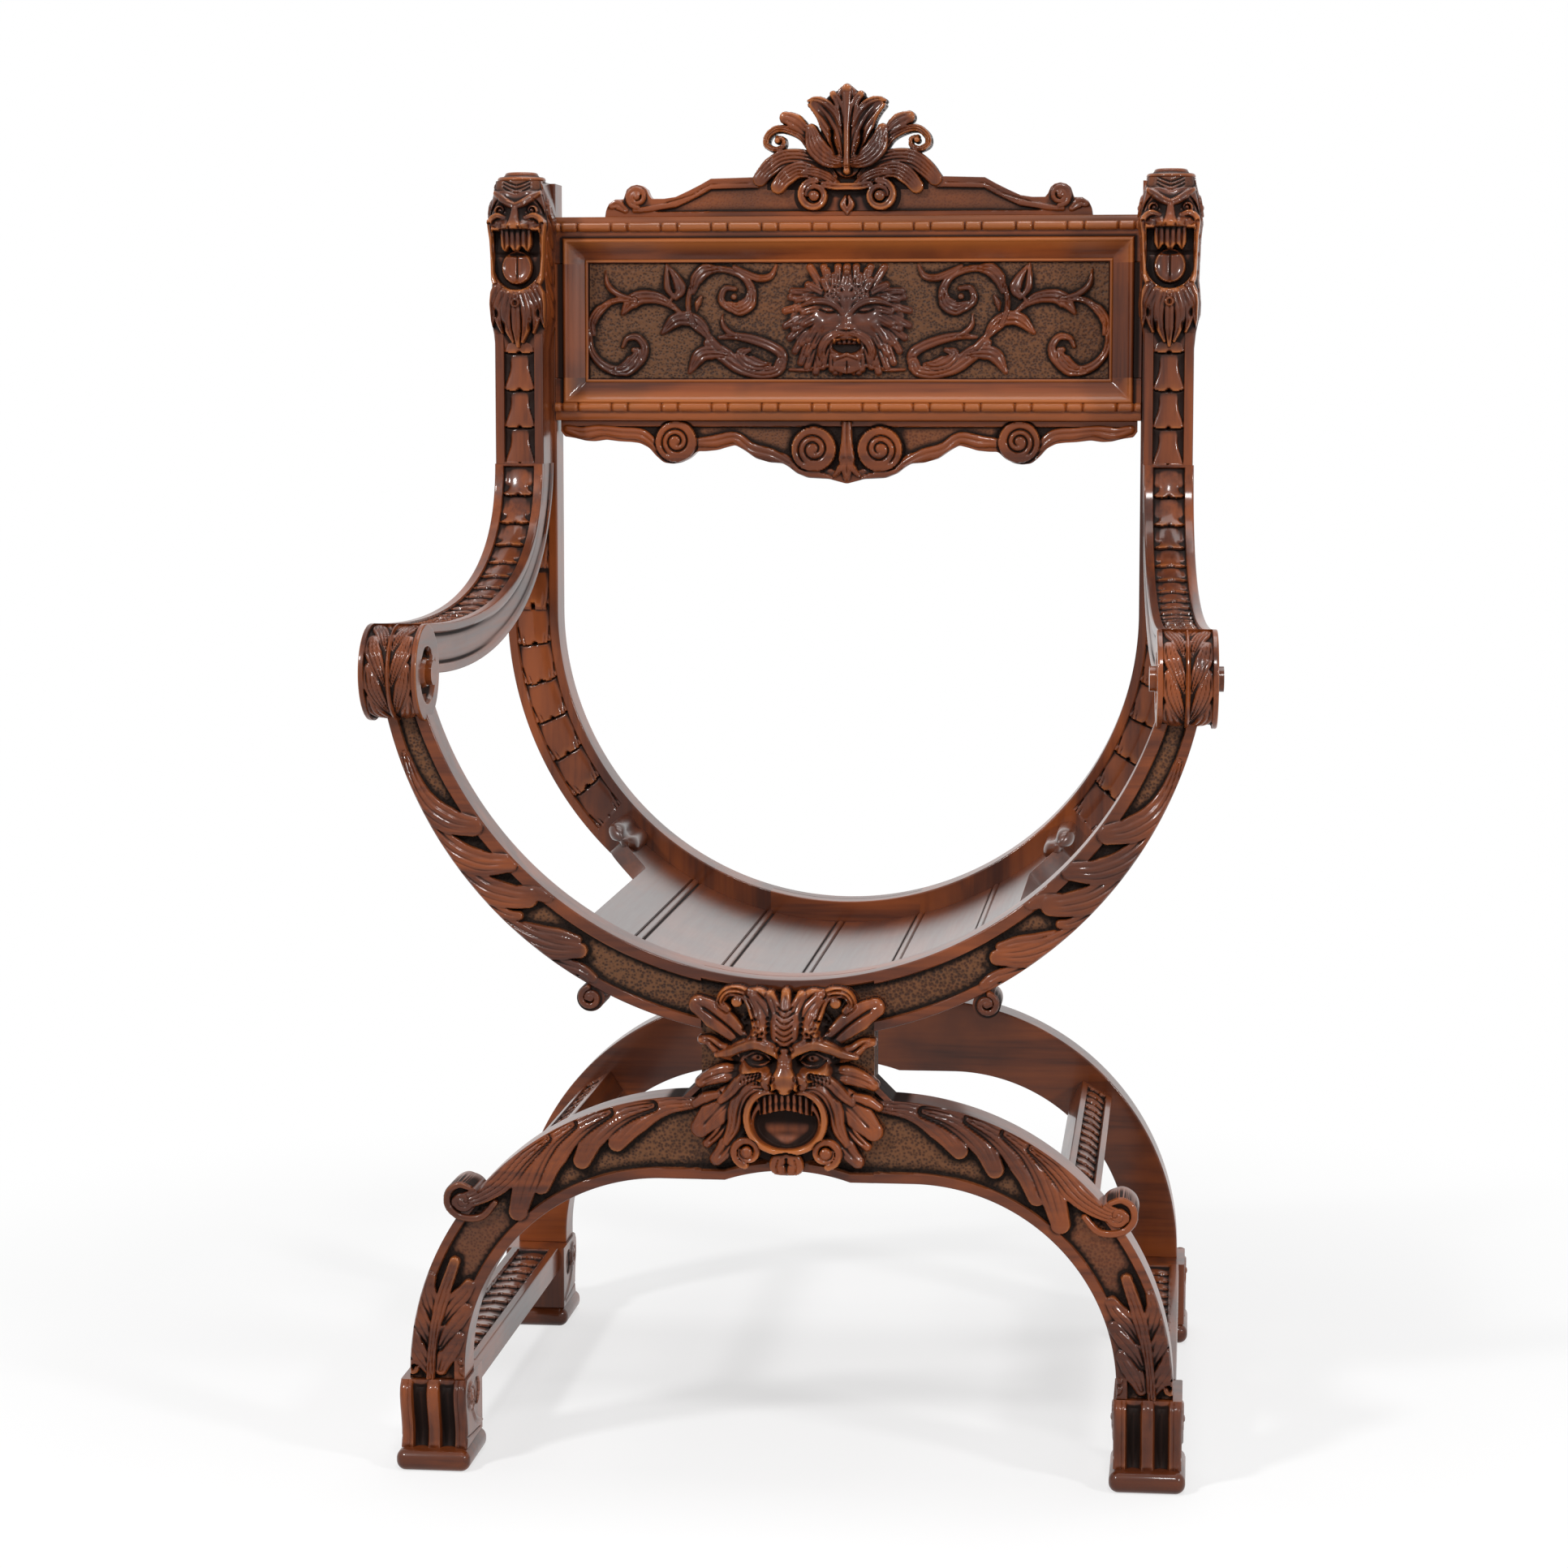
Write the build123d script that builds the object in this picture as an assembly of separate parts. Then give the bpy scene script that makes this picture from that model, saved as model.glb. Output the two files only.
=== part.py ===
from build123d import *
from math import atan2, cos, degrees, radians, sin, sqrt
import os

# Savonarola armchair in carved walnut: two X-shaped frames of S-curved limbs,
# joined by foot runners, stretchers, a boarded bowl seat, arms and a panelled back.
# Millimetres, +Z up, -Y is the front, +X is the right-hand side seen from the front.
# The origin is on the floor, midway between the arm scrolls and the rear plinths.

# ---- Frames ----
frame_spacing = 470.0            # front face of the front frame to that of the rear frame
front_thickness = 38.0
rear_thickness = 36.0
limb_width = 45.0                # radial width of a limb beside the crossing
lap_half_width = 66.0            # half the width of the halved crossing

# ---- Bowls: the upper halves of the frames ----
front_bowl_bottom = 388.0        # top edge of the front limbs at the crossing
front_outer_radius = 315.0
front_inner_radius = 290.0
rear_bowl_bottom = 383.0
back_half_width = 255.0          # half the clear width between the rear posts
stile_top = 1010.0
bowl_curl_angle = 27.8           # where the leaf on the bowl ends in a curl
bowl_curl_radius = 11.0

# ---- Arches: the lower halves ----
leg_outer_x = 294.0
leg_inner_x = 251.0
arch_outer_radius = 222.0
arch_inner_radius = 155.0
arch_crown = 297.0               # top edge beside the crossing
arch_soffit = 233.0              # under edge beside the crossing
chin_rise = 8.0                  # how far the under edge rises at the middle
chin_half_width = 48.0
step_height = 14.0               # shoulder that climbs to the crossing
step_width = 14.0
leg_curl_angle = 37.5
leg_curl_radius = 14.0

# ---- Feet ----
plinth_height = 17.0
plinth_width = 58.0
plinth_depth = 78.0
plinth_overhang = 12.0           # beyond the face of the frame
plinth_round = 3.0
foot_height = 54.0
foot_width = 52.0
foot_depth = 70.0
foot_overhang = 8.0
foot_waist = 7.0
foot_outset = 2.5                # the foot stands this far outside the leg's centre
flute_width = 5.0
flute_depth = 4.0

# ---- Runners and stretchers ----
runner_width = 42.0
runner_height = 22.0
runner_tenon = (24.0, 10.0)      # width and height
runner_tenon_length = 20.0
stretcher_width = 30.0
stretcher_height = 22.0
stretcher_angle = 45.0           # place on the arch, from its springing
stretcher_tilt = 31.0
stretcher_tenon = (18.0, 10.0)
stretcher_tenon_length = 20.0

# ---- Seat ----
seat_radius = 272.0
seat_drop = 18.0                 # seat surface below the rear bowl's edge
seat_thickness = 16.0
board_angle = 15.0               # each board's share of the bowl
board_joint = 0.3                # open joint between boards
horn_length = 62.0
horn_radius = 9.0
seat_cut_fillet = 36.0
seat_cut_angle = 33.5            # how far up the bowl the sides of the seat reach
bearer_height = 10.0
bearer_thickness = 18.0
bearer_half_angle = 29.0

# ---- Arms and posts ----
arm_width = 42.0
hand_width = 45.0
hand_radius = 37.0
hand_axis_z = 619.0
hand_setback = 5.0               # hand axis behind the front frame's face
hand_outset = 3.0
hand_button_radius = 9.5
hand_button_height = 5.0
arm_depth_at_hand = 39.0
arm_top_dip = 16.0               # of the arm's top edge below the hand's top
arm_top_rise = 9.0               # where that edge turns up into the post
arm_under_dip = 17.0
arm_under_rise = 23.0
arm_heel = 22.0
post_width = 42.0
post_depth = 50.0
post_bottom = 768.0
post_gap = 3.0                   # the post stands this far outside the clear width
head_width = 48.0
head_height = 138.0
head_reach = 26.0                # how far the muzzle stands in front of the post
jaw_radius = 15.0
cap_radius = 18.5
cap_height = 8.0
cap_forward = 4.0
boss_radius = 11.0
boss_height = 5.0

# ---- Back ----
back_stile_width = 29.0
panel_bottom = 842.0
panel_top = 940.5
top_rail_height = 40.5
bottom_rail_height = 37.0
rail_thickness = 28.0
rail_proud = 4.0                 # rails stand in front of the rear posts' face
panel_thickness = 12.0
panel_sink = 12.0                # panel's face behind the rails' face
panel_tongue = 7.0
bevel_width = 9.0                # sunk moulding round the panel
bead_width = 8.0
bead_proud = 5.0
bead_edge = 5.0                  # from the rail's outer edge to the bead
rail_tenon_length = 18.0
rail_tenon_thickness = 11.0
crest_thickness = 18.0
crest_end_gap = 27.0             # from the crest board's end to the post
crest_board_height = 33.0
crest_scroll_radius = 9.0
crest_half_width = 84.0          # of the carved middle
crest_height = 114.0             # of the carved middle
crest_volute_radius = 15.0
stem_radius = 24.0
stem_hollow_radius = 16.0
stem_tip_radius = 8.0
carving_proud = 9.0              # crest carving in front of the crest board
apron_end_gap = 3.0
apron_depth = 55.0
apron_relief = 5.0
centre_volute_radius = 18.0
centre_volute_x = 30.0
side_volute_radius = 17.0
side_volute_inset = 105.0        # from the post to the side volute's eye

# ---- Mask ----
mask_half_width = 76.0
mask_height = 150.0
mask_plate = 9.0
mask_proud = 30.0
mask_dome_radius = 60.0
mouth_radius = 17.0
lip_radius = 6.0
brow_radius = 7.0
brow_half_width = 36.0
brow_rise = 20.0
brow_sink = 12.0                 # brow's axis behind the tip of the nose
nose_radius = 6.0

# ---- Fits and pegs ----
fit = 0.1                        # clearance of tenons and seated curves
peg_fit = 0.05                   # radial clearance of pegs
peg_radius = 5.0
peg_length = 36.0
peg_margin = 2.0
crossing_peg_inset = 4.0         # peg ends below the faces of the crossing
edge_peg_reach = 14.0
crest_peg_reach = 10.0
screw_radius = 2.0
screw_length = 32.0
reach = 2000.0                   # larger than the chair, for trimming shapes

# ---- Derived places ----
hand_overhang = hand_radius - hand_setback
front_face = -(frame_spacing + rear_thickness + plinth_overhang - hand_overhang) / 2
front_back = front_face + front_thickness
rear_face = front_face + frame_spacing
rear_back = rear_face + rear_thickness
hand_axis_y = front_face + hand_setback
foot_top = plinth_height + foot_height
foot_x = (leg_outer_x + leg_inner_x) / 2 + foot_outset
outer_bowl_z = front_bowl_bottom - limb_width + front_outer_radius
inner_bowl_z = front_bowl_bottom + front_inner_radius
rear_bowl_z = rear_bowl_bottom + back_half_width
limb_top = hand_axis_z - hand_radius * 0.46
arch_outer_centre = (leg_outer_x - arch_outer_radius, arch_crown - arch_outer_radius)
arch_inner_centre = (leg_inner_x - arch_inner_radius, arch_soffit - arch_inner_radius)
split_z = (arch_crown + step_height + front_bowl_bottom - limb_width) / 2
crossing_z = (arch_soffit + front_bowl_bottom) / 2
seat_centre_z = rear_bowl_bottom - seat_drop + seat_radius
seat_under_radius = seat_radius + seat_thickness
post_x = back_half_width + post_gap + post_width / 2
post_front = rear_face - post_depth
post_y = rear_face - post_depth / 2
rail_face = rear_face - rail_proud
panel_face = rail_face + panel_sink
panel_half_width = back_half_width - back_stile_width
side_volute_x = back_half_width - side_volute_inset
rail_top = panel_top + top_rail_height
rail_bottom = panel_bottom - bottom_rail_height
crest_face = rail_face + rail_thickness - crest_thickness


def limb_x_at(height):
    """Middle of the front limb's width at a height near its top."""
    outer = sqrt(front_outer_radius ** 2 - (outer_bowl_z - height) ** 2)
    inner = sqrt(front_inner_radius ** 2 - (inner_bowl_z - height) ** 2)
    return (outer + inner) / 2


hand_x = limb_x_at(limb_top) + hand_outset
arm_run = post_y - hand_axis_y
arm_splay = degrees(atan2(hand_x - post_x, arm_run))


# ---- Small helpers ----
def rect(x0, x1, z0, z1):
    return Pos((x0 + x1) / 2, (z0 + z1) / 2) * Rectangle(x1 - x0, z1 - z0)


def shaped(width, height, base, shares):
    """Closed outline given in shares of its width and height above a base line."""
    return outline([(width * across, base + height * up) for across, up in shares])


def disc(x, z, radius):
    return Pos(x, z) * Circle(radius)


def outline(points):
    return make_face(Polyline(*points, close=True))


def upright(profile, front, back):
    """Extrude an X-Z profile from its back face to its front face."""
    return extrude(Plane.XZ.offset(-back) * profile, back - front, dir=(0, -1, 0))


def sideways(profile, x0, x1):
    """Extrude a Y-Z profile along X."""
    return extrude(Plane.YZ.offset(x0) * profile, x1 - x0, dir=(1, 0, 0))


def block(x0, x1, y0, y1, z0, z1):
    centre = Pos((x0 + x1) / 2, (y0 + y1) / 2, (z0 + z1) / 2)
    return centre * Box(x1 - x0, y1 - y0, z1 - z0)


def rod(start, end, radius):
    start, end = Vector(*start), Vector(*end)
    length = (end - start).length
    base = Plane(origin=start, z_dir=(end - start).normalized())
    return extrude(base * Circle(radius), length)


def left_of(solid):
    """The left-hand twin of a right-hand piece."""
    return mirror(solid, about=Plane.YZ)


def on_circle(centre, radius, angle):
    return centre[0] + radius * cos(radians(angle)), centre[1] + radius * sin(radians(angle))


# ---- Frames ----
def both_sides(profile):
    return profile + mirror(profile, about=Plane.YZ)


def arch_profile():
    """Lower half of a frame: two legs under a round arch with a raised shoulder."""
    ox, oz = arch_outer_centre
    ix, iz = arch_inner_centre
    outer = disc(ox, oz, arch_outer_radius) + rect(0, ox, 0, arch_crown) + rect(0, leg_outer_x, 0, oz)
    inner = disc(ix, iz, arch_inner_radius) + rect(0, ix, 0, arch_soffit) + rect(0, leg_inner_x, 0, iz)
    shoulder = outline([
        (0, arch_crown - limb_width / 2),
        (lap_half_width + step_width, arch_crown - limb_width / 2),
        (lap_half_width + step_width, arch_crown),
        (lap_half_width, arch_crown + step_height),
        (0, arch_crown + step_height),
    ])
    half = (outer + shoulder) - inner
    return both_sides(half & rect(0, reach, foot_top, reach))


def chin_cut():
    """Round hollow in the under edge, below the crossing."""
    radius = (chin_half_width ** 2 + chin_rise ** 2) / (2 * chin_rise)
    return disc(0, arch_soffit + chin_rise - radius, radius)


def crossing_profile(bowl_z, bowl_radius):
    core = rect(-lap_half_width, lap_half_width, arch_soffit, bowl_z)
    return core - disc(0, bowl_z, bowl_radius)


def front_profile():
    bowl = disc(0, outer_bowl_z, front_outer_radius) - disc(0, inner_bowl_z, front_inner_radius)
    bowl = bowl & rect(-reach, reach, 0, limb_top)
    bowl_curl = on_circle((0, outer_bowl_z), front_outer_radius + 0.8 * bowl_curl_radius,
                          bowl_curl_angle - 90)
    leg_curl = on_circle(arch_outer_centre, arch_outer_radius + 0.3 * leg_curl_radius,
                         leg_curl_angle)
    curls = disc(*bowl_curl, bowl_curl_radius) + disc(*leg_curl, leg_curl_radius)
    whole = bowl + arch_profile() + crossing_profile(inner_bowl_z, front_inner_radius)
    return whole + both_sides(curls) - chin_cut()


def rear_profile():
    outer_radius = back_half_width + limb_width
    ring = disc(0, rear_bowl_z, outer_radius) - disc(0, rear_bowl_z, back_half_width)
    bowl = ring & rect(-reach, reach, 0, rear_bowl_z)
    stile = rect(back_half_width, outer_radius, rear_bowl_z, stile_top)
    whole = bowl + both_sides(stile) + arch_profile()
    return whole + crossing_profile(rear_bowl_z, back_half_width) - chin_cut()


def limb(profile, front, thickness, upper_side, lap_in_front):
    """One S-curved limb: it rises on its upper side and stands on the other side."""
    upper = rect(lap_half_width, reach, split_z, reach)
    lower = rect(-reach, -lap_half_width, 0, split_z)
    lap = rect(-lap_half_width, lap_half_width, 0, reach)
    if upper_side < 0:
        upper = mirror(upper, about=Plane.YZ)
        lower = mirror(lower, about=Plane.YZ)
    back = front + thickness
    middle = front + thickness / 2
    lap_front, lap_back = (front, middle) if lap_in_front else (middle, back)
    solid = upright(profile & upper, front, back) + upright(profile & lower, front, back)
    return solid + upright(profile & lap, lap_front, lap_back)


# ---- Feet, runners and stretchers ----
def front_right_foot():
    """Reeded console block: swelling above, waisted below."""
    front = front_face - foot_overhang
    back = front + foot_depth
    swell = foot_height / 4
    face = Spline(
        (front + foot_waist, plinth_height),
        (front + foot_waist * 0.8, plinth_height + swell),
        (front, foot_top - swell),
        (front + foot_waist, foot_top),
    )
    rest = Polyline(
        (front + foot_waist, foot_top),
        (back, foot_top),
        (back, plinth_height),
        (front + foot_waist, plinth_height),
    )
    profile = make_face(face + rest)
    solid = sideways(profile, foot_x - foot_width / 2, foot_x + foot_width / 2)
    for side in (-1, 1):
        flute_x = foot_x + side * foot_width / 6
        solid -= block(flute_x - flute_width / 2, flute_x + flute_width / 2,
                       front - 1, front + foot_waist + flute_depth,
                       plinth_height, foot_top - swell / 2)
    return solid


def front_right_plinth():
    front = front_face - plinth_overhang
    slab = block(foot_x - plinth_width / 2, foot_x + plinth_width / 2,
                 front, front + plinth_depth, 0, plinth_height)
    return fillet(slab.edges().filter_by(Axis.Z), plinth_round)


def to_rear(solid):
    """A front piece turned to face the back, under the rear frame."""
    return Pos(0, front_face + rear_back, 0) * mirror(solid, about=Plane.XZ)


def runner():
    start = front_face - foot_overhang + foot_depth
    end = rear_back + foot_overhang - foot_depth
    return block(foot_x - runner_width / 2, foot_x + runner_width / 2,
                 start, end, foot_top - runner_height, foot_top)


def runner_tenons(grow):
    start = front_face - foot_overhang + foot_depth
    end = rear_back + foot_overhang - foot_depth
    half_width = runner_tenon[0] / 2 + grow
    half_height = runner_tenon[1] / 2 + grow
    middle = foot_top - runner_height / 2
    length = runner_tenon_length + grow
    span = (foot_x - half_width, foot_x + half_width)
    rise = (middle - half_height, middle + half_height)
    return block(*span, start - length, start, *rise) + block(*span, end, end + length, *rise)


def stretcher_place():
    outer = on_circle(arch_outer_centre, arch_outer_radius, stretcher_angle)
    inner = on_circle(arch_inner_centre, arch_inner_radius, stretcher_angle)
    x, z = (outer[0] + inner[0]) / 2, (outer[1] + inner[1]) / 2
    return Pos(x, (front_back + rear_face) / 2, z) * Rot(0, stretcher_tilt, 0)


def stretcher():
    return stretcher_place() * Box(stretcher_width, rear_face - front_back, stretcher_height)


def stretcher_tenons(grow):
    width, height = stretcher_tenon
    clear = rear_face - front_back
    bar = Box(width + 2 * grow, clear + 2 * (stretcher_tenon_length + grow), height + 2 * grow)
    return stretcher_place() * (bar - Box(2 * width, clear, 2 * height))


# ---- Seat ----
def bowl_sector(inner, outer, start, end):
    """Ring sector in the X-Z plane about the seat's centre; angles from straight down."""
    ring = disc(0, seat_centre_z, outer) - disc(0, seat_centre_z, inner)
    a, b = radians(start), radians(end)
    far = outer * 1.5
    wedge = outline([
        (0, seat_centre_z),
        (far * sin(a), seat_centre_z - far * cos(a)),
        (far * sin(b), seat_centre_z - far * cos(b)),
    ])
    return ring & wedge


def seat_board(number):
    """Board of the right half, counted outwards from the middle."""
    slack = degrees(board_joint / 2 / seat_radius)
    start = board_angle * number + slack
    end = board_angle * (number + 1) - slack
    section = bowl_sector(seat_radius, seat_under_radius, start, end)
    return upright(section, front_back + fit, rear_face - fit)


def end_board():
    """Outer board: its side is hollowed between two rolled horns."""
    solid = seat_board(2)
    horn_angle = radians(board_angle * 3)
    horn_x = seat_radius * sin(horn_angle)
    horn_z = seat_centre_z - seat_radius * cos(horn_angle)
    roll = disc(horn_x, horn_z, horn_radius)
    solid += upright(roll, front_back + fit, rear_face - fit)
    cut_start = front_back + horn_length
    cut_end = rear_face - horn_length
    cut_x = seat_radius * sin(radians(seat_cut_angle))
    cutter = Pos(cut_x + reach / 8, (cut_start + cut_end) / 2) * Rectangle(
        reach / 4, cut_end - cut_start)
    inner_corners = cutter.vertices().sort_by(Axis.X)[:2]
    cutter = fillet(inner_corners, seat_cut_fillet)
    return solid - extrude(cutter, reach, dir=(0, 0, 1))


def bearer_section():
    inner = seat_under_radius + fit
    return bowl_sector(inner, inner + bearer_height, 0, bearer_half_angle)


def seat_bearer(y0, y1):
    return upright(both_sides(bearer_section()), y0, y1)


# ---- Arms and posts ----
def arm_place():
    """Turns the arm about its post, so that the hand sits over the front limb."""
    return Pos(post_x, post_y, 0) * Rot(0, 0, arm_splay)


def hand(width, grow=0.0):
    profile = disc(-arm_run, hand_axis_z, hand_radius + grow)
    return sideways(profile, -width / 2, width / 2)


def arm():
    """Swept arm and scrolled hand, in the arm's own frame, then placed."""
    hand_top = hand_axis_z + hand_radius
    under = hand_top - arm_depth_at_hand
    front = -arm_run
    back = post_depth / 2
    top_edge = Bezier(
        (front, hand_top),
        (front + arm_run * 0.51, hand_top - arm_top_dip),
        (-back, hand_top + arm_top_rise),
        (-back, post_bottom),
    )
    under_edge = Bezier(
        (back, post_bottom),
        (back - arm_heel, under + arm_under_rise),
        (front + arm_run * 0.53, under - arm_under_dip),
        (front + hand_radius / 2, under),
    )
    closing = Polyline((-back, post_bottom), (back, post_bottom))
    tip = Polyline((front + hand_radius / 2, under), (front, hand_top))
    profile = make_face(top_edge + closing + under_edge + tip)
    solid = sideways(profile, -arm_width / 2, arm_width / 2) + hand(hand_width)
    return arm_place() * solid - block(0, reach, rear_face, reach, 0, reach)


def hand_buttons():
    """Turned button at the eye of each scroll, on both sides of the hand."""
    outer = hand_width / 2
    pair = [rod((side * outer, -arm_run, hand_axis_z),
                (side * (outer + hand_button_height), -arm_run, hand_axis_z),
                hand_button_radius) for side in (-1, 1)]
    return [arm_place() * button for button in pair]


def post():
    """Upright above the arm, with the beast's head carved at its top."""
    solid = block(post_x - post_width / 2, post_x + post_width / 2,
                  post_front, rear_face, post_bottom, stile_top)
    chin = stile_top - head_height
    muzzle = post_front - head_reach
    profile = outline([
        (post_front + 1, chin),
        (post_front - head_reach * 0.45, chin + head_height * 0.10),
        (muzzle + head_reach * 0.25, chin + head_height * 0.24),
        (muzzle + head_reach * 0.35, chin + head_height * 0.30),
        (post_front - 1, chin + head_height * 0.42),
        (muzzle + head_reach * 0.2, chin + head_height * 0.58),
        (muzzle, chin + head_height * 0.68),
        (muzzle + head_reach * 0.3, chin + head_height * 0.80),
        (muzzle + head_reach * 0.5, chin + head_height * 0.94),
        (post_front, stile_top),
        (rear_face - 1, stile_top),
        (rear_face - 1, chin + head_height * 0.6),
        (post_front + 1, chin + head_height * 0.2),
    ])
    head = sideways(profile, post_x - head_width / 2, post_x + head_width / 2)
    mouth_z = chin + head_height * 0.42
    mouth = rod((post_x, muzzle, mouth_z), (post_x, post_front + head_reach / 4, mouth_z), jaw_radius)
    return solid + head - mouth


def post_cap():
    cap_y = post_y - cap_forward
    disc_part = rod((post_x, cap_y, stile_top), (post_x, cap_y, stile_top + cap_height), cap_radius)
    top_edge = disc_part.edges().sort_by(Axis.Z)[-1]
    return fillet(top_edge, cap_height / 3)


def post_boss():
    side = post_x + head_width / 2
    z = stile_top - head_height * 0.18
    return rod((side, post_front, z), (side + boss_height, post_front, z), boss_radius)


# ---- Back ----
def panel_bevel():
    """Frustum that bevels the frame's inner edges down to the panel, mitred at the corners."""
    middle_z = (panel_top + panel_bottom) / 2
    width, height = 2 * panel_half_width, panel_top - panel_bottom
    deep = Plane.XZ.offset(-(panel_face - fit)) * (Pos(0, middle_z) * Rectangle(width, height))
    wide = Plane.XZ.offset(-(rail_face - fit)) * (
        Pos(0, middle_z) * Rectangle(width + 2 * bevel_width, height + 2 * bevel_width))
    return loft([deep, wide])


def panel_space():
    """Groove that holds the panel's edges."""
    return block(-panel_half_width - panel_tongue - fit, panel_half_width + panel_tongue + fit,
                 panel_face - fit, panel_face + panel_thickness + fit,
                 panel_bottom - panel_tongue - fit, panel_top + panel_tongue + fit)


def rail_tenons(z0, z1, grow):
    y_middle = rail_face + rail_thickness / 2
    half = rail_tenon_thickness / 2 + grow
    end = back_half_width + rail_tenon_length + grow
    right = block(back_half_width, end, y_middle - half, y_middle + half,
                  z0 + bead_edge - grow, z1 - bead_edge + grow)
    return right + left_of(right)


def back_rail(z0, z1):
    plank = block(-back_half_width, back_half_width, rail_face, rail_face + rail_thickness, z0, z1)
    return plank + rail_tenons(z0, z1, 0) - panel_space() - panel_bevel()


def back_stile():
    plank = block(panel_half_width, back_half_width, rail_face, rail_face + rail_thickness,
                  panel_bottom, panel_top)
    return plank - panel_space() - panel_bevel()


def back_panel():
    tongue = panel_tongue
    return block(-panel_half_width - tongue, panel_half_width + tongue,
                 panel_face, panel_face + panel_thickness,
                 panel_bottom - tongue, panel_top + tongue)


def bead_strip(z):
    """Bead along a rail; z is its middle."""
    half_round = (Pos(rail_face, z) * Ellipse(bead_proud, bead_width / 2))
    half_round = half_round & Pos(rail_face - bead_proud, z) * Rectangle(2 * bead_proud, bead_width)
    return sideways(half_round, -back_half_width + fit, back_half_width - fit)


def crest_board():
    """Long board on the top rail: a plateau, two hollow shoulders and end scrolls."""
    half_length = back_half_width - crest_end_gap
    half = shaped(half_length, crest_board_height, rail_top, [
        (0, 0), (1, 0), (1, 0.09), (0.917, 0.12), (0.886, 0.42), (0.833, 0.455),
        (0.754, 0.455), (0.697, 0.42), (0.596, 0.58), (0.509, 0.94), (0.364, 1), (0, 1),
    ])
    scroll = disc(half_length * 0.8, rail_top + crest_board_height / 2, crest_scroll_radius)
    return upright(both_sides(half + scroll), crest_face, crest_face + crest_thickness)


def crest_carving():
    """Carved crest: volutes and swags before the board, a pierced palmette above it."""
    front = crest_face - carving_proud
    back = crest_face + crest_thickness
    width, height = crest_half_width, crest_height
    swag = shaped(width, height, rail_top, [
        (0, 0.07), (0.357, 0), (0.667, 0.105), (1, 0.263),
        (0.952, 0.386), (0.762, 0.465), (0.429, 0.491), (0, 0.439),
    ])
    leaf = shaped(width, height, rail_top, [
        (0, 0.395), (0.19, 0.456), (0.333, 0.614), (0.31, 0.719),
        (0.393, 0.842), (0.381, 0.895), (0.119, 0.956), (0, 1),
    ])
    volute = disc(centre_volute_x, rail_top + height / 6, crest_volute_radius)
    stem = disc(width * 0.548, rail_top + height * 0.526, stem_radius)
    stem -= disc(width * 0.524, rail_top + height * 0.482, stem_hollow_radius)
    tip = disc(width * 0.75, rail_top + height * 0.588, stem_tip_radius)
    half = swag + volute + leaf + stem + tip
    seat = rail_top + crest_board_height + fit
    low = half & rect(0, reach, rail_top + fit, seat)
    high = half & rect(0, reach, seat, reach)
    return upright(both_sides(low), front, crest_face) + upright(both_sides(high), front, back)


def apron_board():
    """Shaped board under the bottom rail, with raised volutes."""
    half = shaped(back_half_width - apron_end_gap, -apron_depth, rail_bottom, [
        (0, 0), (1, 0), (0.992, 0.255), (0.905, 0.327), (0.841, 0.309), (0.75, 0.345),
        (0.675, 0.509), (0.639, 0.673), (0.575, 0.673), (0.52, 0.473), (0.448, 0.473),
        (0.381, 0.382), (0.317, 0.6), (0.218, 0.673), (0.19, 0.8), (0.135, 0.909),
        (0.06, 0.927), (0, 1),
    ])
    volutes = disc(centre_volute_x, rail_bottom - apron_depth * 0.455, centre_volute_radius)
    volutes += disc(side_volute_x, rail_bottom - side_volute_radius - 1, side_volute_radius)
    solid = upright(both_sides(half), crest_face, crest_face + crest_thickness)
    return solid + upright(both_sides(volutes), crest_face - apron_relief, crest_face + 1)


# ---- Mask ----
def front_mask():
    """Leaf mask over the front crossing: leafy plate, domed face, open mouth."""
    low = crossing_z - mask_height / 2
    half = shaped(mask_half_width, mask_height, low, [
        (0, 0.92), (0.158, 1), (0.526, 0.987), (1, 0.88), (0.842, 0.747), (0.947, 0.587),
        (0.921, 0.44), (1, 0.293), (0.763, 0.04), (0.342, 0.013), (0, 0),
    ])
    seat = front_face - mask_plate / 2
    nose_face = front_face - mask_proud
    mouth_z = crossing_z - mask_height * 0.28
    face_z = crossing_z + mask_height * 0.05
    brow_z = face_z + brow_rise
    before_frame = block(-reach, reach, seat - reach, seat, 0, reach)
    face = Pos(0, nose_face + mask_dome_radius, face_z) * Sphere(mask_dome_radius) & before_frame
    brow = rod((-brow_half_width, nose_face + brow_sink, brow_z),
               (brow_half_width, nose_face + brow_sink, brow_z), brow_radius)
    nose = rod((0, nose_face + nose_radius + 2, brow_z),
               (0, nose_face + nose_radius, face_z - brow_rise - 2), nose_radius)
    muzzle = rod((0, seat, mouth_z), (0, front_face - mask_plate - lip_radius, mouth_z),
                 mouth_radius + lip_radius)
    mouth = rod((0, seat + 1, mouth_z), (0, nose_face - 1, mouth_z), mouth_radius)
    plate = upright(both_sides(half), front_face - mask_plate, front_face)
    return plate + face + brow + nose + muzzle - mouth


# ---- Pieces ----
pieces = {}


def add_pair(name, right):
    pieces[name + "_right"] = right
    pieces[name + "_left"] = left_of(right)


front_shape = front_profile()
rear_shape = rear_profile()
pieces["front_limb_left"] = limb(front_shape, front_face, front_thickness, -1, True)
pieces["front_limb_right"] = limb(front_shape, front_face, front_thickness, 1, False)
pieces["rear_limb_left"] = limb(rear_shape, rear_face, rear_thickness, -1, False)
pieces["rear_limb_right"] = limb(rear_shape, rear_face, rear_thickness, 1, True)
pieces["front_mask"] = front_mask()

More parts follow.
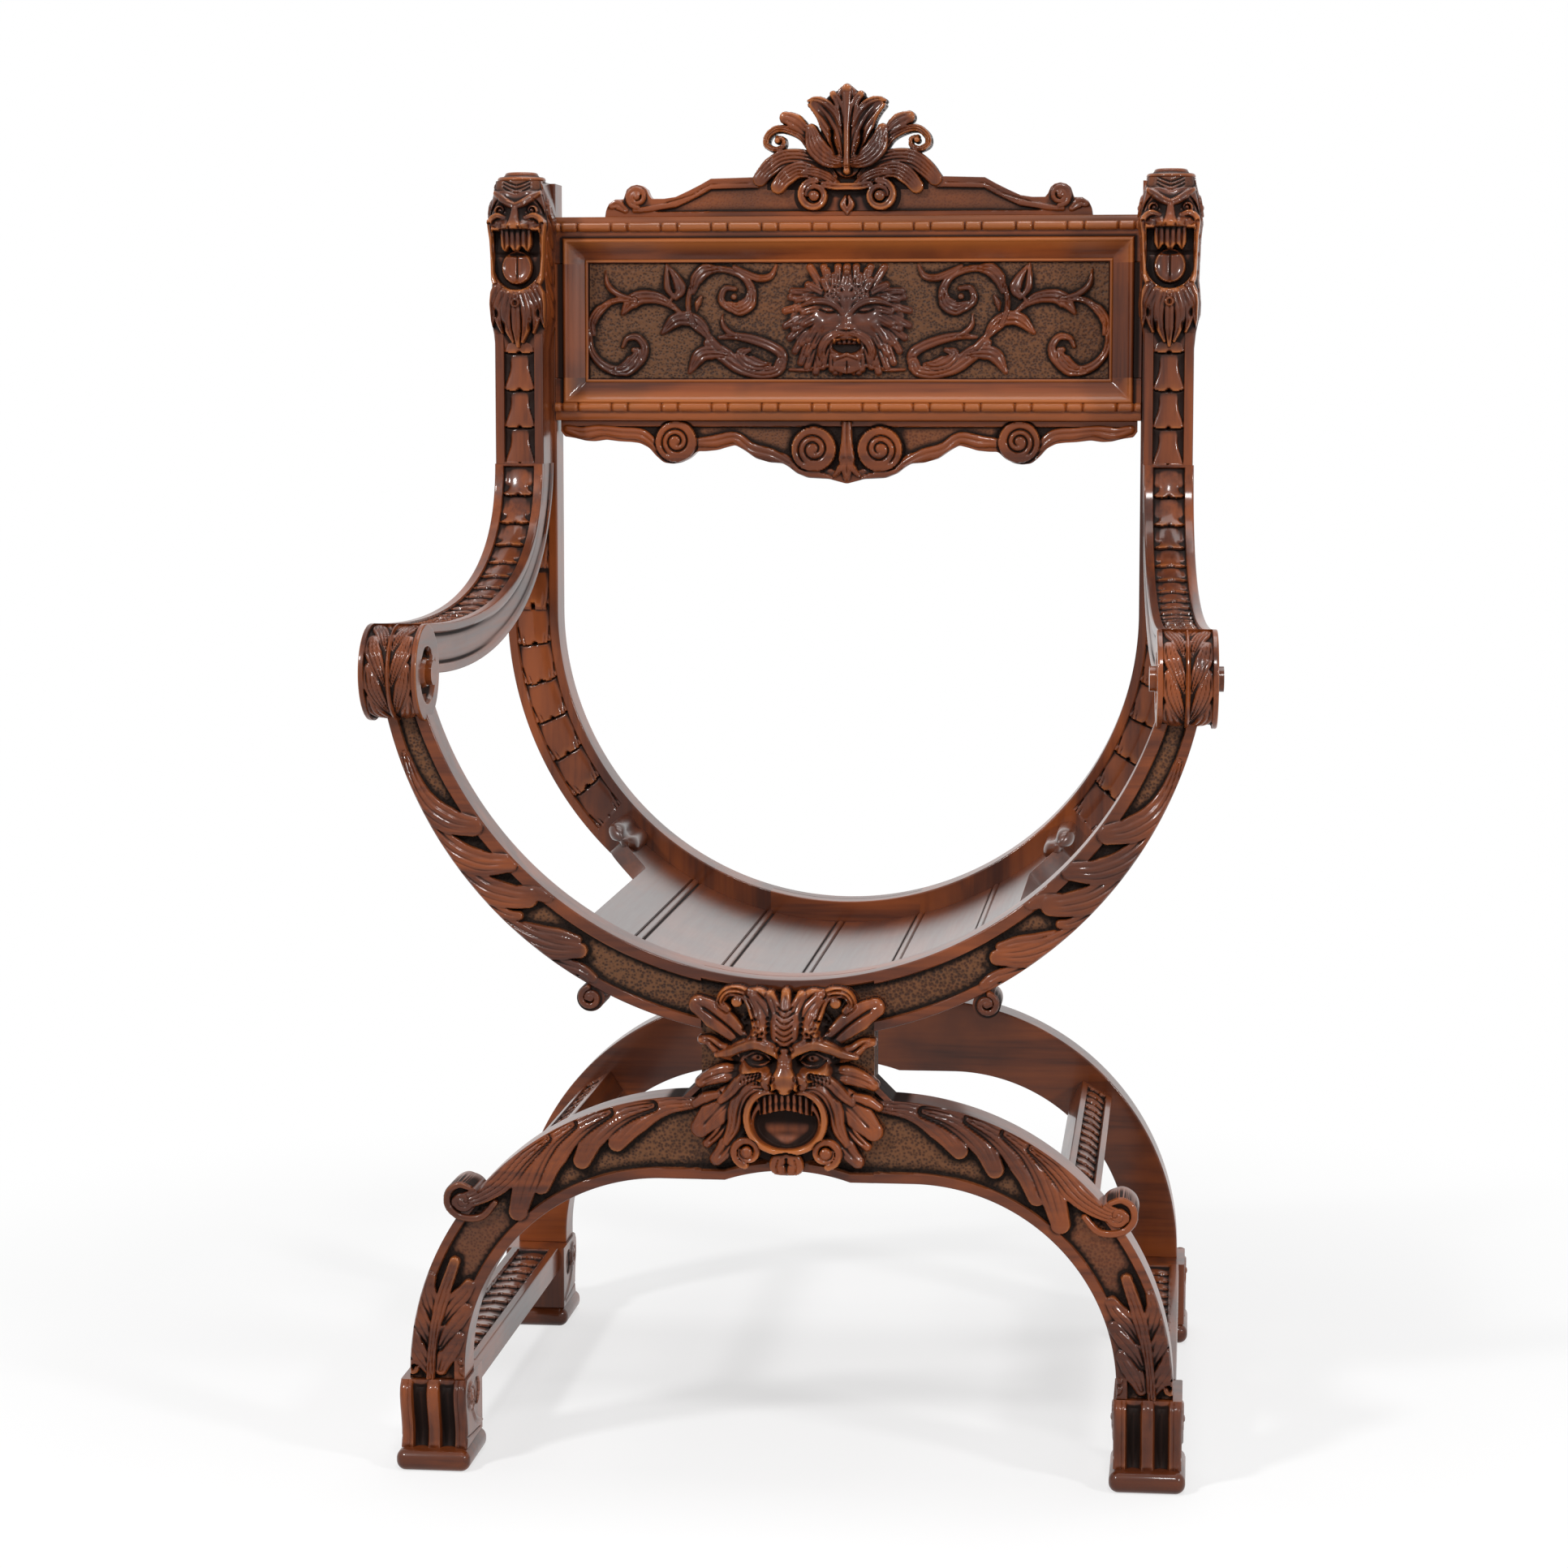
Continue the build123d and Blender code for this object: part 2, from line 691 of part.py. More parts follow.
add_pair("front_foot", front_right_foot())
add_pair("rear_foot", to_rear(front_right_foot()))
add_pair("front_plinth", front_right_plinth())
add_pair("rear_plinth", to_rear(front_right_plinth()))
add_pair("runner", runner() + runner_tenons(0))
add_pair("stretcher", stretcher() + stretcher_tenons(0))

add_pair("seat_board_inner", seat_board(0))
add_pair("seat_board_middle", seat_board(1))
add_pair("seat_board_end", end_board())
pieces["seat_bearer_front"] = seat_bearer(front_back, front_back + bearer_thickness)
pieces["seat_bearer_rear"] = seat_bearer(rear_face - bearer_thickness, rear_face)

add_pair("arm", arm())
add_pair("arm_post", post())
add_pair("post_cap", post_cap())
add_pair("post_boss", post_boss())

pieces["back_top_rail"] = back_rail(panel_top, rail_top)
pieces["back_bottom_rail"] = back_rail(rail_bottom, panel_bottom)
add_pair("back_stile", back_stile())
pieces["back_panel"] = back_panel()
bead_offset = bead_edge + bead_width / 2
pieces["top_bead"] = bead_strip(rail_top - bead_offset)
pieces["bottom_bead"] = bead_strip(rail_bottom + bead_offset + bead_edge / 2)
pieces["crest_board"] = crest_board()
pieces["crest_carving"] = crest_carving()
pieces["apron_board"] = apron_board()

# Mortises for the tenons.
for side in ("left", "right"):
    turn = left_of if side == "left" else (lambda solid: solid)
    for place in ("front", "rear"):
        pieces[f"{place}_foot_{side}"] -= turn(runner_tenons(fit))
    for limb_name in ("front_limb_left", "front_limb_right", "rear_limb_left", "rear_limb_right"):
        pieces[limb_name] -= turn(stretcher_tenons(fit))
for limb_name in ("rear_limb_left", "rear_limb_right"):
    pieces[limb_name] -= rail_tenons(panel_top, rail_top, fit)
    pieces[limb_name] -= rail_tenons(rail_bottom, panel_bottom, fit)

# The front limbs end in a hollow seat for the scrolled hands.
hand_seat = arm_place() * hand(hand_width + 2 * front_thickness, fit)
for limb_name in ("front_limb_left", "front_limb_right"):
    pieces[limb_name] -= hand_seat
    pieces[limb_name] -= left_of(hand_seat)


# ---- Pegs and screws ----
def peg_group(name, lines, radius, joined):
    """Pegs along the given lines, with holes for them in the joined pieces."""
    pieces[name] = Compound(children=[rod(start, end, radius) for start, end in lines])
    for start, end in lines:
        hole = rod(start, end, radius + peg_fit)
        for other in joined:
            pieces[other] -= hole


def mirrored_lines(lines):
    twins = [((-start[0], *start[1:]), (-end[0], *end[1:])) for start, end in lines]
    return lines + twins


def sides(*names):
    return [f"{name}_{side}" for name in names for side in ("left", "right")]


half_peg = peg_length / 2
peg_inset = lap_half_width / 2
crossing_pegs = []
for start in (front_face, rear_face):
    depth = front_thickness if start == front_face else rear_thickness
    for x in (-peg_inset, peg_inset):
        crossing_pegs.append(((x, start + crossing_peg_inset, crossing_z),
                              (x, start + depth - crossing_peg_inset, crossing_z)))
peg_group("crossing_pegs", crossing_pegs, peg_radius, sides("front_limb", "rear_limb"))

leg_peg_x = foot_x - foot_outset
leg_pegs = [((leg_peg_x, y, foot_top - half_peg), (leg_peg_x, y, foot_top + half_peg))
            for y in (front_face + front_thickness / 2, rear_face + rear_thickness / 2)]
peg_group("leg_pegs", mirrored_lines(leg_pegs), peg_radius,
          sides("front_limb", "rear_limb", "front_foot", "rear_foot"))

foot_peg_bottom = plinth_height / 3
foot_peg_top = plinth_height + foot_height / 4
foot_pegs = [((foot_x, y, foot_peg_bottom), (foot_x, y, foot_peg_top))
             for y in (front_face + front_thickness / 2, rear_face + rear_thickness / 2)]
peg_group("foot_pegs", mirrored_lines(foot_pegs), peg_radius,
          sides("front_foot", "rear_foot", "front_plinth", "rear_plinth"))

hand_peg_x = limb_x_at(limb_top)
hand_peg_z = hand_axis_z - hand_radius
hand_peg_y = front_face + front_thickness / 2
hand_pegs = [((hand_peg_x, hand_peg_y, hand_peg_z - half_peg / 2),
              (hand_peg_x, hand_peg_y, hand_peg_z + half_peg))]
peg_group("hand_pegs", mirrored_lines(hand_pegs), peg_radius, sides("front_limb", "arm"))

arm_pegs = [((post_x, post_y, post_bottom - half_peg), (post_x, post_y, post_bottom + half_peg))]
peg_group("arm_pegs", mirrored_lines(arm_pegs), peg_radius, sides("arm", "arm_post"))

post_peg_x = back_half_width + rail_tenon_length + 2 * peg_radius + peg_margin
post_peg_heights = (post_bottom + 2 * half_peg, (panel_top + panel_bottom) / 2, stile_top - half_peg)
post_pegs = [((post_peg_x, rear_face - half_peg, z), (post_peg_x, rear_face + half_peg, z))
             for z in post_peg_heights]
peg_group("post_pegs", mirrored_lines(post_pegs), peg_radius, sides("arm_post", "rear_limb"))

mask_pegs = [((x, front_face - mask_plate, crossing_z + 2 * peg_length / 3),
              (x, front_face + front_thickness / 3, crossing_z + 2 * peg_length / 3))
             for x in (-peg_inset, peg_inset)]
peg_group("mask_pegs", mask_pegs, peg_radius, ["front_mask", "front_limb_left", "front_limb_right"])

crest_peg_y = crest_face + crest_thickness / 2
edge_pegs = []
for x in (-side_volute_x, 0, side_volute_x):
    edge_pegs.append(((x, crest_peg_y, rail_top - edge_peg_reach),
                      (x, crest_peg_y, rail_top + crest_peg_reach)))
    edge_pegs.append(((x, crest_peg_y, rail_bottom - edge_peg_reach),
                      (x, crest_peg_y, rail_bottom + edge_peg_reach)))
peg_group("back_edge_pegs", edge_pegs, peg_radius / 2,
          ["crest_board", "apron_board", "back_top_rail", "back_bottom_rail"])

bearer_middle = seat_under_radius + fit + bearer_height / 2
bearer_screws = []
for angle in (-2 * bearer_half_angle / 3, 0, 2 * bearer_half_angle / 3):
    x, z = on_circle((0, seat_centre_z), bearer_middle, angle - 90)
    front_start = front_back + bearer_thickness
    bearer_screws.append(((x, front_start, z), (x, front_start - screw_length, z)))
    rear_start = rear_face - bearer_thickness
    bearer_screws.append(((x, rear_start, z), (x, rear_start + screw_length, z)))
peg_group("bearer_screws", bearer_screws, screw_radius,
          ["seat_bearer_front", "seat_bearer_rear"] + sides("front_limb", "rear_limb"))

for side, turn in (("right", lambda solid: solid), ("left", left_of)):
    pieces[f"hand_buttons_{side}"] = Compound(children=[turn(button) for button in hand_buttons()])

os.makedirs("parts", exist_ok=True)
for name, piece in pieces.items():
    export_step(piece, f"parts/{name}.step")
print(len(pieces), "pieces written")
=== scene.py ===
import math
import bpy
import numpy as np
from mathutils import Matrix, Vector


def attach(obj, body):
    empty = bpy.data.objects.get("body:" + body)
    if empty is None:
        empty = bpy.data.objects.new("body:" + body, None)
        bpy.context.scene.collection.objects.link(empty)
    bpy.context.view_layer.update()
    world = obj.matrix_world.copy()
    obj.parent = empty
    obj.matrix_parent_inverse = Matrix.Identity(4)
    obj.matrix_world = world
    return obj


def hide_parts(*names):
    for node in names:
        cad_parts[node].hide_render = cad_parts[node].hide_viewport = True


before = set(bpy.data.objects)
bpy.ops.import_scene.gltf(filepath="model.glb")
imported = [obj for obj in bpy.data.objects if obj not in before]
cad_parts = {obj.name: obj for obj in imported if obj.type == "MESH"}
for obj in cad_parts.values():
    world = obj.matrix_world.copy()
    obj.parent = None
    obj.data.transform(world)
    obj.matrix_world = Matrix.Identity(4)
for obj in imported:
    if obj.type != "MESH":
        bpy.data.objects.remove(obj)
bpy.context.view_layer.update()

mm = 0.001
print("frame loaded")


# ---- small helpers for shapes; lengths in millimetres until a mesh is made

def deselectAll():
    bpy.ops.object.select_all(action="DESELECT")


def smooth(value):
    value = np.clip(value, 0.0, 1.0)
    return value * value * (3 - 2 * value)


def bell(gap, width, power=2):
    return np.exp(-(gap / width) ** power)


def arched(share):
    # a round section: full in the middle, nothing at its edges
    return np.sqrt(np.clip(1 - share ** 2, 0, 1))


def lineAt(x, y, z):
    # the points of a long edge; a single number holds all along it
    return np.stack(np.broadcast_arrays(x, y, z), axis=-1)


def blurred(field, reach):
    # averages down the columns, then, with the grid turned over, along the rows
    for _ in range(2):
        window = min(reach, (len(field) - 1) // 2)
        if window > 0:
            span = 2 * window + 1
            total = np.cumsum(np.pad(field, [(window + 1, window), (0, 0)], mode="edge"), axis=0)
            field = (total[span:] - total[:-span]) / span
        field = field.T
    return field


def curve(points, steps=7):
    # a smooth line through the points
    p = np.asarray(points, float)
    if isinstance(points, np.ndarray) or len(p) < 3:
        return p
    p = np.vstack([2 * p[0] - p[1], p, 2 * p[-1] - p[-2]])
    line = []
    for i in range(1, len(p) - 2):
        for t in np.arange(steps) / steps:
            line.append(0.5 * (2 * p[i] + (p[i + 1] - p[i - 1]) * t
                               + (2 * p[i - 1] - 5 * p[i] + 4 * p[i + 1] - p[i + 2]) * t ** 2
                               + (3 * p[i] - p[i - 1] - 3 * p[i + 1] + p[i + 2]) * t ** 3))
    line.append(p[-2])
    return np.array(line)


def spiral(x, z, outer, inner, turns, start, hand=1):
    pointsPerTurn = 22
    t = np.linspace(0, 1, int(pointsPerTurn * turns) + 2)
    radius = outer + (inner - outer) * t
    angle = math.radians(start) + hand * 2 * math.pi * turns * t
    return np.stack([x + radius * np.cos(angle), z + radius * np.sin(angle)], axis=1)


class Relief:
    # a carved surface over a grid of places; solid is the distance out of the outline
    def __init__(self, x, z, ground=0.0):
        self.x, self.z = np.broadcast_arrays(x, z)
        self.height = np.full(self.x.shape, float(ground))
        self.stipple = np.zeros(self.x.shape)
        # shade is painted shade and painted highlight, added to the tone
        self.shade = np.zeros(self.x.shape)
        self.solid = np.full(self.x.shape, 50.0)

    def near(self, path, margin):
        line = curve(path)
        low, high = line.min(0) - margin, line.max(0) + margin
        pick = (self.x > low[0]) & (self.x < high[0]) & (self.z > low[1]) & (self.z < high[1])
        px, pz = self.x[pick], self.z[pick]
        best = np.full(px.shape, 1e9)
        share = np.zeros(px.shape)
        side = np.zeros(px.shape)
        steps = np.diff(line, axis=0)
        lengths = np.maximum(np.hypot(steps[:, 0], steps[:, 1]), 1e-9)
        total = lengths.sum()
        passed = 0.0
        for start, step, length in zip(line[:-1], steps, lengths):
            ex, ez = px - start[0], pz - start[1]
            part = np.clip((ex * step[0] + ez * step[1]) / length ** 2, 0, 1)
            gap = np.hypot(ex - part * step[0], ez - part * step[1])
            closer = gap < best
            best[closer] = gap[closer]
            share[closer] = (passed + part[closer] * length) / total
            side[closer] = np.sign(step[0] * ez - step[1] * ex)[closer]
            passed += length
        return pick, best, share, side * best

    def blend(self, mask, top):
        self.height = self.height * (1 - mask) + top * mask

    def over(self, pick, mask, top):
        # like blend, for some of the places, which are left smooth and free of painted shade
        self.height[pick] = self.height[pick] * (1 - mask) + top * mask
        self.stipple[pick] *= 1 - mask
        self.shade[pick] *= 1 - mask

    def stroke(self, path, width, height, flutes=0, flute=0.9, edge=1.0, crown=0.6):
        # width is half the leaf's breadth, at points along the path, and height goes with it;
        # flutes is how many grooves run down it, flute their depth, crown the fall to its edges
        width, height = np.atleast_1d(width), np.atleast_1d(height)
        pick, gap, share, side = self.near(path, width.max() + 1)
        if not pick.any():
            return
        half = np.interp(share, np.linspace(0, 1, len(width)), width)
        q = np.clip(side / np.maximum(half, 0.1), -1, 1)
        reach = np.clip(gap / np.maximum(half, 0.1), 0, 1)
        top = np.interp(share, np.linspace(0, 1, len(height)), height) - crown * reach ** 2.5
        if flutes:
            place = (q + 1) / 2 * (flutes + 1)
            line = np.round(place)
            cut = bell(place - line, 0.22) * ((line > 0.5) & (line < flutes + 0.5))
            top = top - flute * cut * smooth(half / 3.5) * smooth((1 - share) * 6 + 0.15)
        self.over(pick, smooth((half - gap) / edge + 0.25), top)
        self.solid[pick] = np.minimum(self.solid[pick], gap - half)

    def groove(self, path, width, depth):
        pick, gap, share, _ = self.near(path, 3 * width)
        ends = smooth(np.minimum(share, 1 - share) * 12 + 0.35)
        self.height[pick] -= depth * bell(gap, width) * ends

    def mound(self, x, z, wide, high, rise, power=2.0):
        # soft hump or hollow
        self.height += rise * bell(np.hypot((self.x - x) / wide, (self.z - z) / high), 1, power)

    def knob(self, x, z, radius, top, dome=1.0, moat=0.0):
        # a domed disc; the moat is the depth of a groove around it
        r = np.hypot(self.x - x, self.z - z)
        self.height -= moat * bell(r - radius - 0.6, 0.9)
        pick = r < radius
        self.over(pick, smooth((radius - r[pick]) / 0.9), top + dome * (1 - (r[pick] / radius) ** 2))
        self.solid = np.minimum(self.solid, r - radius)

    def sink(self, mask, depth, stipple=1.0):
        self.height -= mask * depth
        self.stipple = np.maximum(self.stipple, mask * stipple)


toning = {"nearReach": 1.7, "farReach": 6.5, "near": 0.3, "far": 0.27, "proud": 0.42}


def wearAndShadeTone(height, cell=0.85):
    # dark in hollows, from dust and old polish and from painted shade, and light on proud places, from wear
    # and painted highlight
    near = height - blurred(height, max(1, round(toning["nearReach"] / cell)))
    far = height - blurred(height, max(2, round(toning["farReach"] / cell)))
    tone = toning["near"] * near + toning["far"] * far
    return np.clip(np.where(tone > 0, toning["proud"] * tone, tone), -1.0, 1.0)


def named(piece, name):
    piece.name = piece.data.name = name
    return piece


def choose(parts):
    deselectAll()
    for part in parts:
        part.select_set(True)
    bpy.context.view_layer.objects.active = parts[0]


def meshFromGrid(name, points, tone, stipple=None):
    rows, columns = points.shape[:2]
    deselectAll()
    bpy.ops.mesh.primitive_grid_add(x_subdivisions=columns - 1, y_subdivisions=rows - 1, size=1.0)
    piece = named(bpy.context.active_object, name)
    while piece.data.uv_layers:
        piece.data.uv_layers.remove(piece.data.uv_layers[0])
    piece.data.vertices.foreach_set("co", (points.reshape(-1, 3) * mm).ravel())
    for label, values in (("tone", tone), ("stipple", np.zeros_like(tone) if stipple is None else stipple)):
        layer = piece.data.attributes.new(label, "FLOAT", "POINT")
        layer.data.foreach_set("value", np.ascontiguousarray(values, np.float32).ravel())
    piece.data.update()
    return piece


def facesOutward():
    # ends edit mode
    bpy.ops.mesh.select_all(action="SELECT")
    bpy.ops.mesh.normals_make_consistent(inside=False)
    bpy.ops.object.mode_set(mode="OBJECT")


def closeUp(piece, angle=42):
    # merges the seam, fills the open ends and turns the faces outwards
    bpy.ops.object.mode_set(mode="EDIT")
    bpy.ops.mesh.select_mode(type="VERT")
    bpy.ops.mesh.select_all(action="SELECT")
    bpy.ops.mesh.remove_doubles(threshold=0.00001)
    bpy.ops.mesh.fill_holes(sides=0)
    facesOutward()
    bpy.ops.object.shade_smooth_by_angle(angle=math.radians(angle))
    return piece


def joined(name, parts):
    choose(parts)
    bpy.ops.object.join()
    return named(bpy.context.active_object, name)


class Bar:
    # a bar with four long faces between four edges; face 0 is the carved one, counts are the columns
    # of each face, and the arris is the radius of the long corners
    def __init__(self, edges, counts, arris=1.2):
        self.edges = [np.asarray(edge, float) for edge in edges]
        self.arris = arris
        centre = sum(self.edges) / 4
        along = np.gradient(centre, axis=0)
        run = np.linalg.norm(along, axis=1)
        self.run = np.concatenate([[0], np.cumsum((run[1:] + run[:-1]) / 2)])
        self.faces = []
        for i, count in enumerate(counts):
            start, end = self.edges[i], self.edges[(i + 1) % 4]
            across = end - start
            width = np.linalg.norm(across, axis=1)[:, None]
            normal = np.cross(across, along)
            normal /= np.linalg.norm(normal, axis=1)[:, None]
            outward = np.sum(((start + end) / 2 - centre) * normal, axis=1)
            normal *= np.sign(outward)[:, None]
            corner = np.tile(np.array([0.293, 0.55, 0.85]) * arris, (len(width), 1))
            inset = 1.2 * arris
            inner = inset + np.linspace(0, 1, count)[None, :] * (width - 2 * inset)
            place = np.concatenate([corner, inner, width - corner[:, ::-1]], axis=1)
            near = np.minimum(place, width - place)
            roll = arris - np.sqrt(arris ** 2 - np.clip(arris - near, 0, arris) ** 2)
            base = start[:, None] + (across / width)[:, None] * place[:, :, None]
            face = {"base": base, "normal": normal, "roll": roll, "near": near,
                    "across": place, "back": width - place,
                    "along": np.tile(self.run[:, None], (1, place.shape[1]))}
            face["relief"] = Relief(base[:, :, 0], base[:, :, 2])
            self.faces.append(face)

    def build(self, name, cell=0.85, edgeWearAndHighlight=0.3):
        points, tones, stipples = [], [], []
        for face in self.faces:
            relief = face["relief"]
            fade = smooth(face["near"] / (1.2 * self.arris))
            lift = relief.height * fade - face["roll"]
            point = face["base"] + face["normal"][:, None] * lift[:, :, None]
            # the tone: dust and painted shade in hollows, wear and painted highlight on proud places and
            # along the arrises, and the relief's painted shade
            tone = wearAndShadeTone(relief.height, cell) + relief.shade + edgeWearAndHighlight * (1 - smooth(face["near"] / 2.0))
            points.append(point[:, 1:])
            tones.append(tone[:, 1:])
            stipples.append(relief.stipple[:, 1:] * fade[:, 1:])
        grids = []
        for parts in (points, tones, stipples):
            grids.append(np.concatenate([parts[-1][:, -1:]] + parts, axis=1))
        return closeUp(meshFromGrid(name, *grids))


def flattenChosen(piece, back):
    # lays the selected vertices on the back plane
    bpy.ops.object.mode_set(mode="OBJECT")
    mesh = piece.data
    chosen = np.zeros(len(mesh.vertices), bool)
    mesh.vertices.foreach_get("select", chosen)
    places = np.zeros(len(mesh.vertices) * 3, np.float32)
    mesh.vertices.foreach_get("co", places)
    places = places.reshape(-1, 3)
    places[chosen, 1] = back * mm
    mesh.vertices.foreach_set("co", places.ravel())
    for label in ("tone", "stipple"):
        values = np.zeros(len(mesh.vertices), np.float32)
        mesh.attributes[label].data.foreach_get("value", values)
        values[chosen] = 0
        mesh.attributes[label].data.foreach_set("value", values)


def platePiece(name, relief, front, back, x, z, cell, doubled=True):
    # a carved plate cut to its outline; x and z are the true places of the grid
    solid, height = relief.solid, relief.height
    middle = (solid[1:, 1:] + solid[:-1, 1:] + solid[1:, :-1] + solid[:-1, :-1]) / 4
    keep = middle < 0
    for _ in range(4):
        # cells that meet only at a corner are all kept, so that no edge is pinched
        a, b, c, d = keep[1:, 1:], keep[:-1, :-1], keep[1:, :-1], keep[:-1, 1:]
        crossed = (a & b & ~c & ~d) | (c & d & ~a & ~b)
        for part in (a, b, c, d):
            part |= crossed
    touch = np.zeros(solid.shape, int)
    for i in (0, 1):
        for j in (0, 1):
            touch[i:i + keep.shape[0], j:j + keep.shape[1]] += keep
    rim = (touch > 0) & (touch < 4)
    # the rim's points slide onto the outline
    slopeZ, slopeX = np.gradient(solid, cell)
    shift = np.where(rim, np.clip(solid, -0.8 * cell, 0.8 * cell), 0)
    size = np.maximum(slopeX ** 2 + slopeZ ** 2, 0.25)
    x, z = x - shift * slopeX / size, z - shift * slopeZ / size
    points = np.stack([x, front - height, z], axis=2)
    # the tone: dust and painted shade in hollows, wear and painted highlight on proud places, and the
    # relief's painted shade
    piece = meshFromGrid(name, points, wearAndShadeTone(height, cell) + relief.shade, relief.stipple)
    mesh = piece.data
    mesh.vertices.foreach_set("select", np.zeros(len(mesh.vertices), bool))
    mesh.edges.foreach_set("select", np.zeros(len(mesh.edges), bool))
    mesh.polygons.foreach_set("select", ~keep.ravel())
    bpy.context.tool_settings.mesh_select_mode = (False, False, True)
    bpy.ops.object.mode_set(mode="EDIT")
    bpy.ops.mesh.delete(type="FACE")
    bpy.ops.mesh.select_all(action="SELECT")
    if doubled:
        bpy.ops.mesh.extrude_region_move(TRANSFORM_OT_translate={"value": (0, 0.02, 0)})
    else:
        bpy.ops.mesh.region_to_loop()
        bpy.ops.mesh.extrude_edges_move(TRANSFORM_OT_translate={"value": (0, 0.02, 0)})
    flattenChosen(piece, back)
    if not doubled:
        bpy.ops.object.mode_set(mode="EDIT")
        bpy.ops.mesh.fill(use_beauty=False)
        bpy.ops.object.mode_set(mode="OBJECT")
    return closeUp(piece, 50)


def plateGrid(x0, x1, z0, z1, cell):
    x = np.arange(x0, x1 + cell / 2, cell)
    z = np.arange(z0, z1 + cell / 2, cell)
    return np.meshgrid(x, z)


def twinOf(piece, name, scale, shift=0.0):
    # a copy with a mesh of its own, turned over along one axis and moved in depth
    choose([piece])
    bpy.ops.object.duplicate()
    twin = named(bpy.context.active_object, name)
    twin.scale, twin.location = scale, (0, shift * mm, 0)
    bpy.ops.object.transform_apply(location=True, rotation=False, scale=True)
    bpy.ops.object.mode_set(mode="EDIT")
    facesOutward()
    return twin


def mirrored(piece, name):
    return twinOf(piece, name, (-1, 1, 1))


def hitCircle(place, direction, centre, radius):
    # how far a ray from the place runs until it leaves the circle
    ex, ez = place[0] - centre[0], place[1] - centre[1]
    b = direction[0] * ex + direction[1] * ez
    return -b + np.sqrt(b * b - ex * ex - ez * ez + radius ** 2)


def noise(x, z, size, seed):
    # smooth seeded unevenness
    rng = np.random.default_rng(seed)
    total = np.zeros(np.broadcast(x, z).shape)
    waves = 6
    for _ in range(waves):
        angle, phase = rng.uniform(0, 2 * math.pi, 2)
        pitch = size * rng.uniform(0.6, 1.6)
        total += np.sin((x * math.cos(angle) + z * math.sin(angle)) * 2 * math.pi / pitch + phase)
    return total / waves


# ---- materials

class Value:
    # a node socket that ordinary arithmetic works on
    def __init__(self, finish, socket):
        self.finish, self.socket = finish, socket

    def maths(self, operation, other, swapped=False):
        pair = (other, self) if swapped else (self, other)
        return self.finish.node("ShaderNodeMath", {"operation": operation}, {0: pair[0], 1: pair[1]})

    def __add__(self, other):
        return self.maths("ADD", other)

    def __sub__(self, other):
        return self.maths("SUBTRACT", other)

    def __mul__(self, other):
        return self.maths("MULTIPLY", other)

    def __radd__(self, other):
        return self.maths("ADD", other, True)

    def __rsub__(self, other):
        return self.maths("SUBTRACT", other, True)

    def __rmul__(self, other):
        return self.maths("MULTIPLY", other, True)


class Finish:
    # a node tree in the making: a new material's, or the one that is given
    def __init__(self, name, tree=None):
        if tree is None:
            self.material = bpy.data.materials.new(name)
            self.material.use_nodes = True
            tree = self.material.node_tree
        self.tree = tree
        self.tree.nodes.clear()

    def node(self, kind, settings=None, sockets=None, output=0):
        made = self.tree.nodes.new(kind)
        for key, value in (settings or {}).items():
            setattr(made, key, value)
        for key, value in (sockets or {}).items():
            if isinstance(value, Value):
                self.tree.links.new(value.socket, made.inputs[key])
            else:
                made.inputs[key].default_value = value
        return Value(self, made.outputs[output] if len(made.outputs) else None)

    def between(self, value, low, high):
        return self.node("ShaderNodeMapRange", {"interpolation_type": "SMOOTHSTEP"},
                         {"Value": value, "From Min": low, "From Max": high})

    def mix(self, share, first, second):
        return self.node("ShaderNodeMix", {"data_type": "RGBA"}, {0: share, 6: first, 7: second}, 2)


woodColours = {
    "heart": (0.072, 0.0152, 0.0044, 1),
    "sap": (0.205, 0.0470, 0.0092, 1),
    "streak": (0.026, 0.0066, 0.0034, 1),
    "shade": (0.036, 0.0086, 0.0042, 1),
    # worn is wear and painted highlight on proud places; recess is dust and painted shade in hollows
    "wornAndHighlight": (0.450, 0.1350, 0.0280, 1),
    "recess": (0.0045, 0.0024, 0.0018, 1),
    "ground": (0.024, 0.0108, 0.0054, 1),
    "groundLight": (0.112, 0.0480, 0.0205, 1),
}


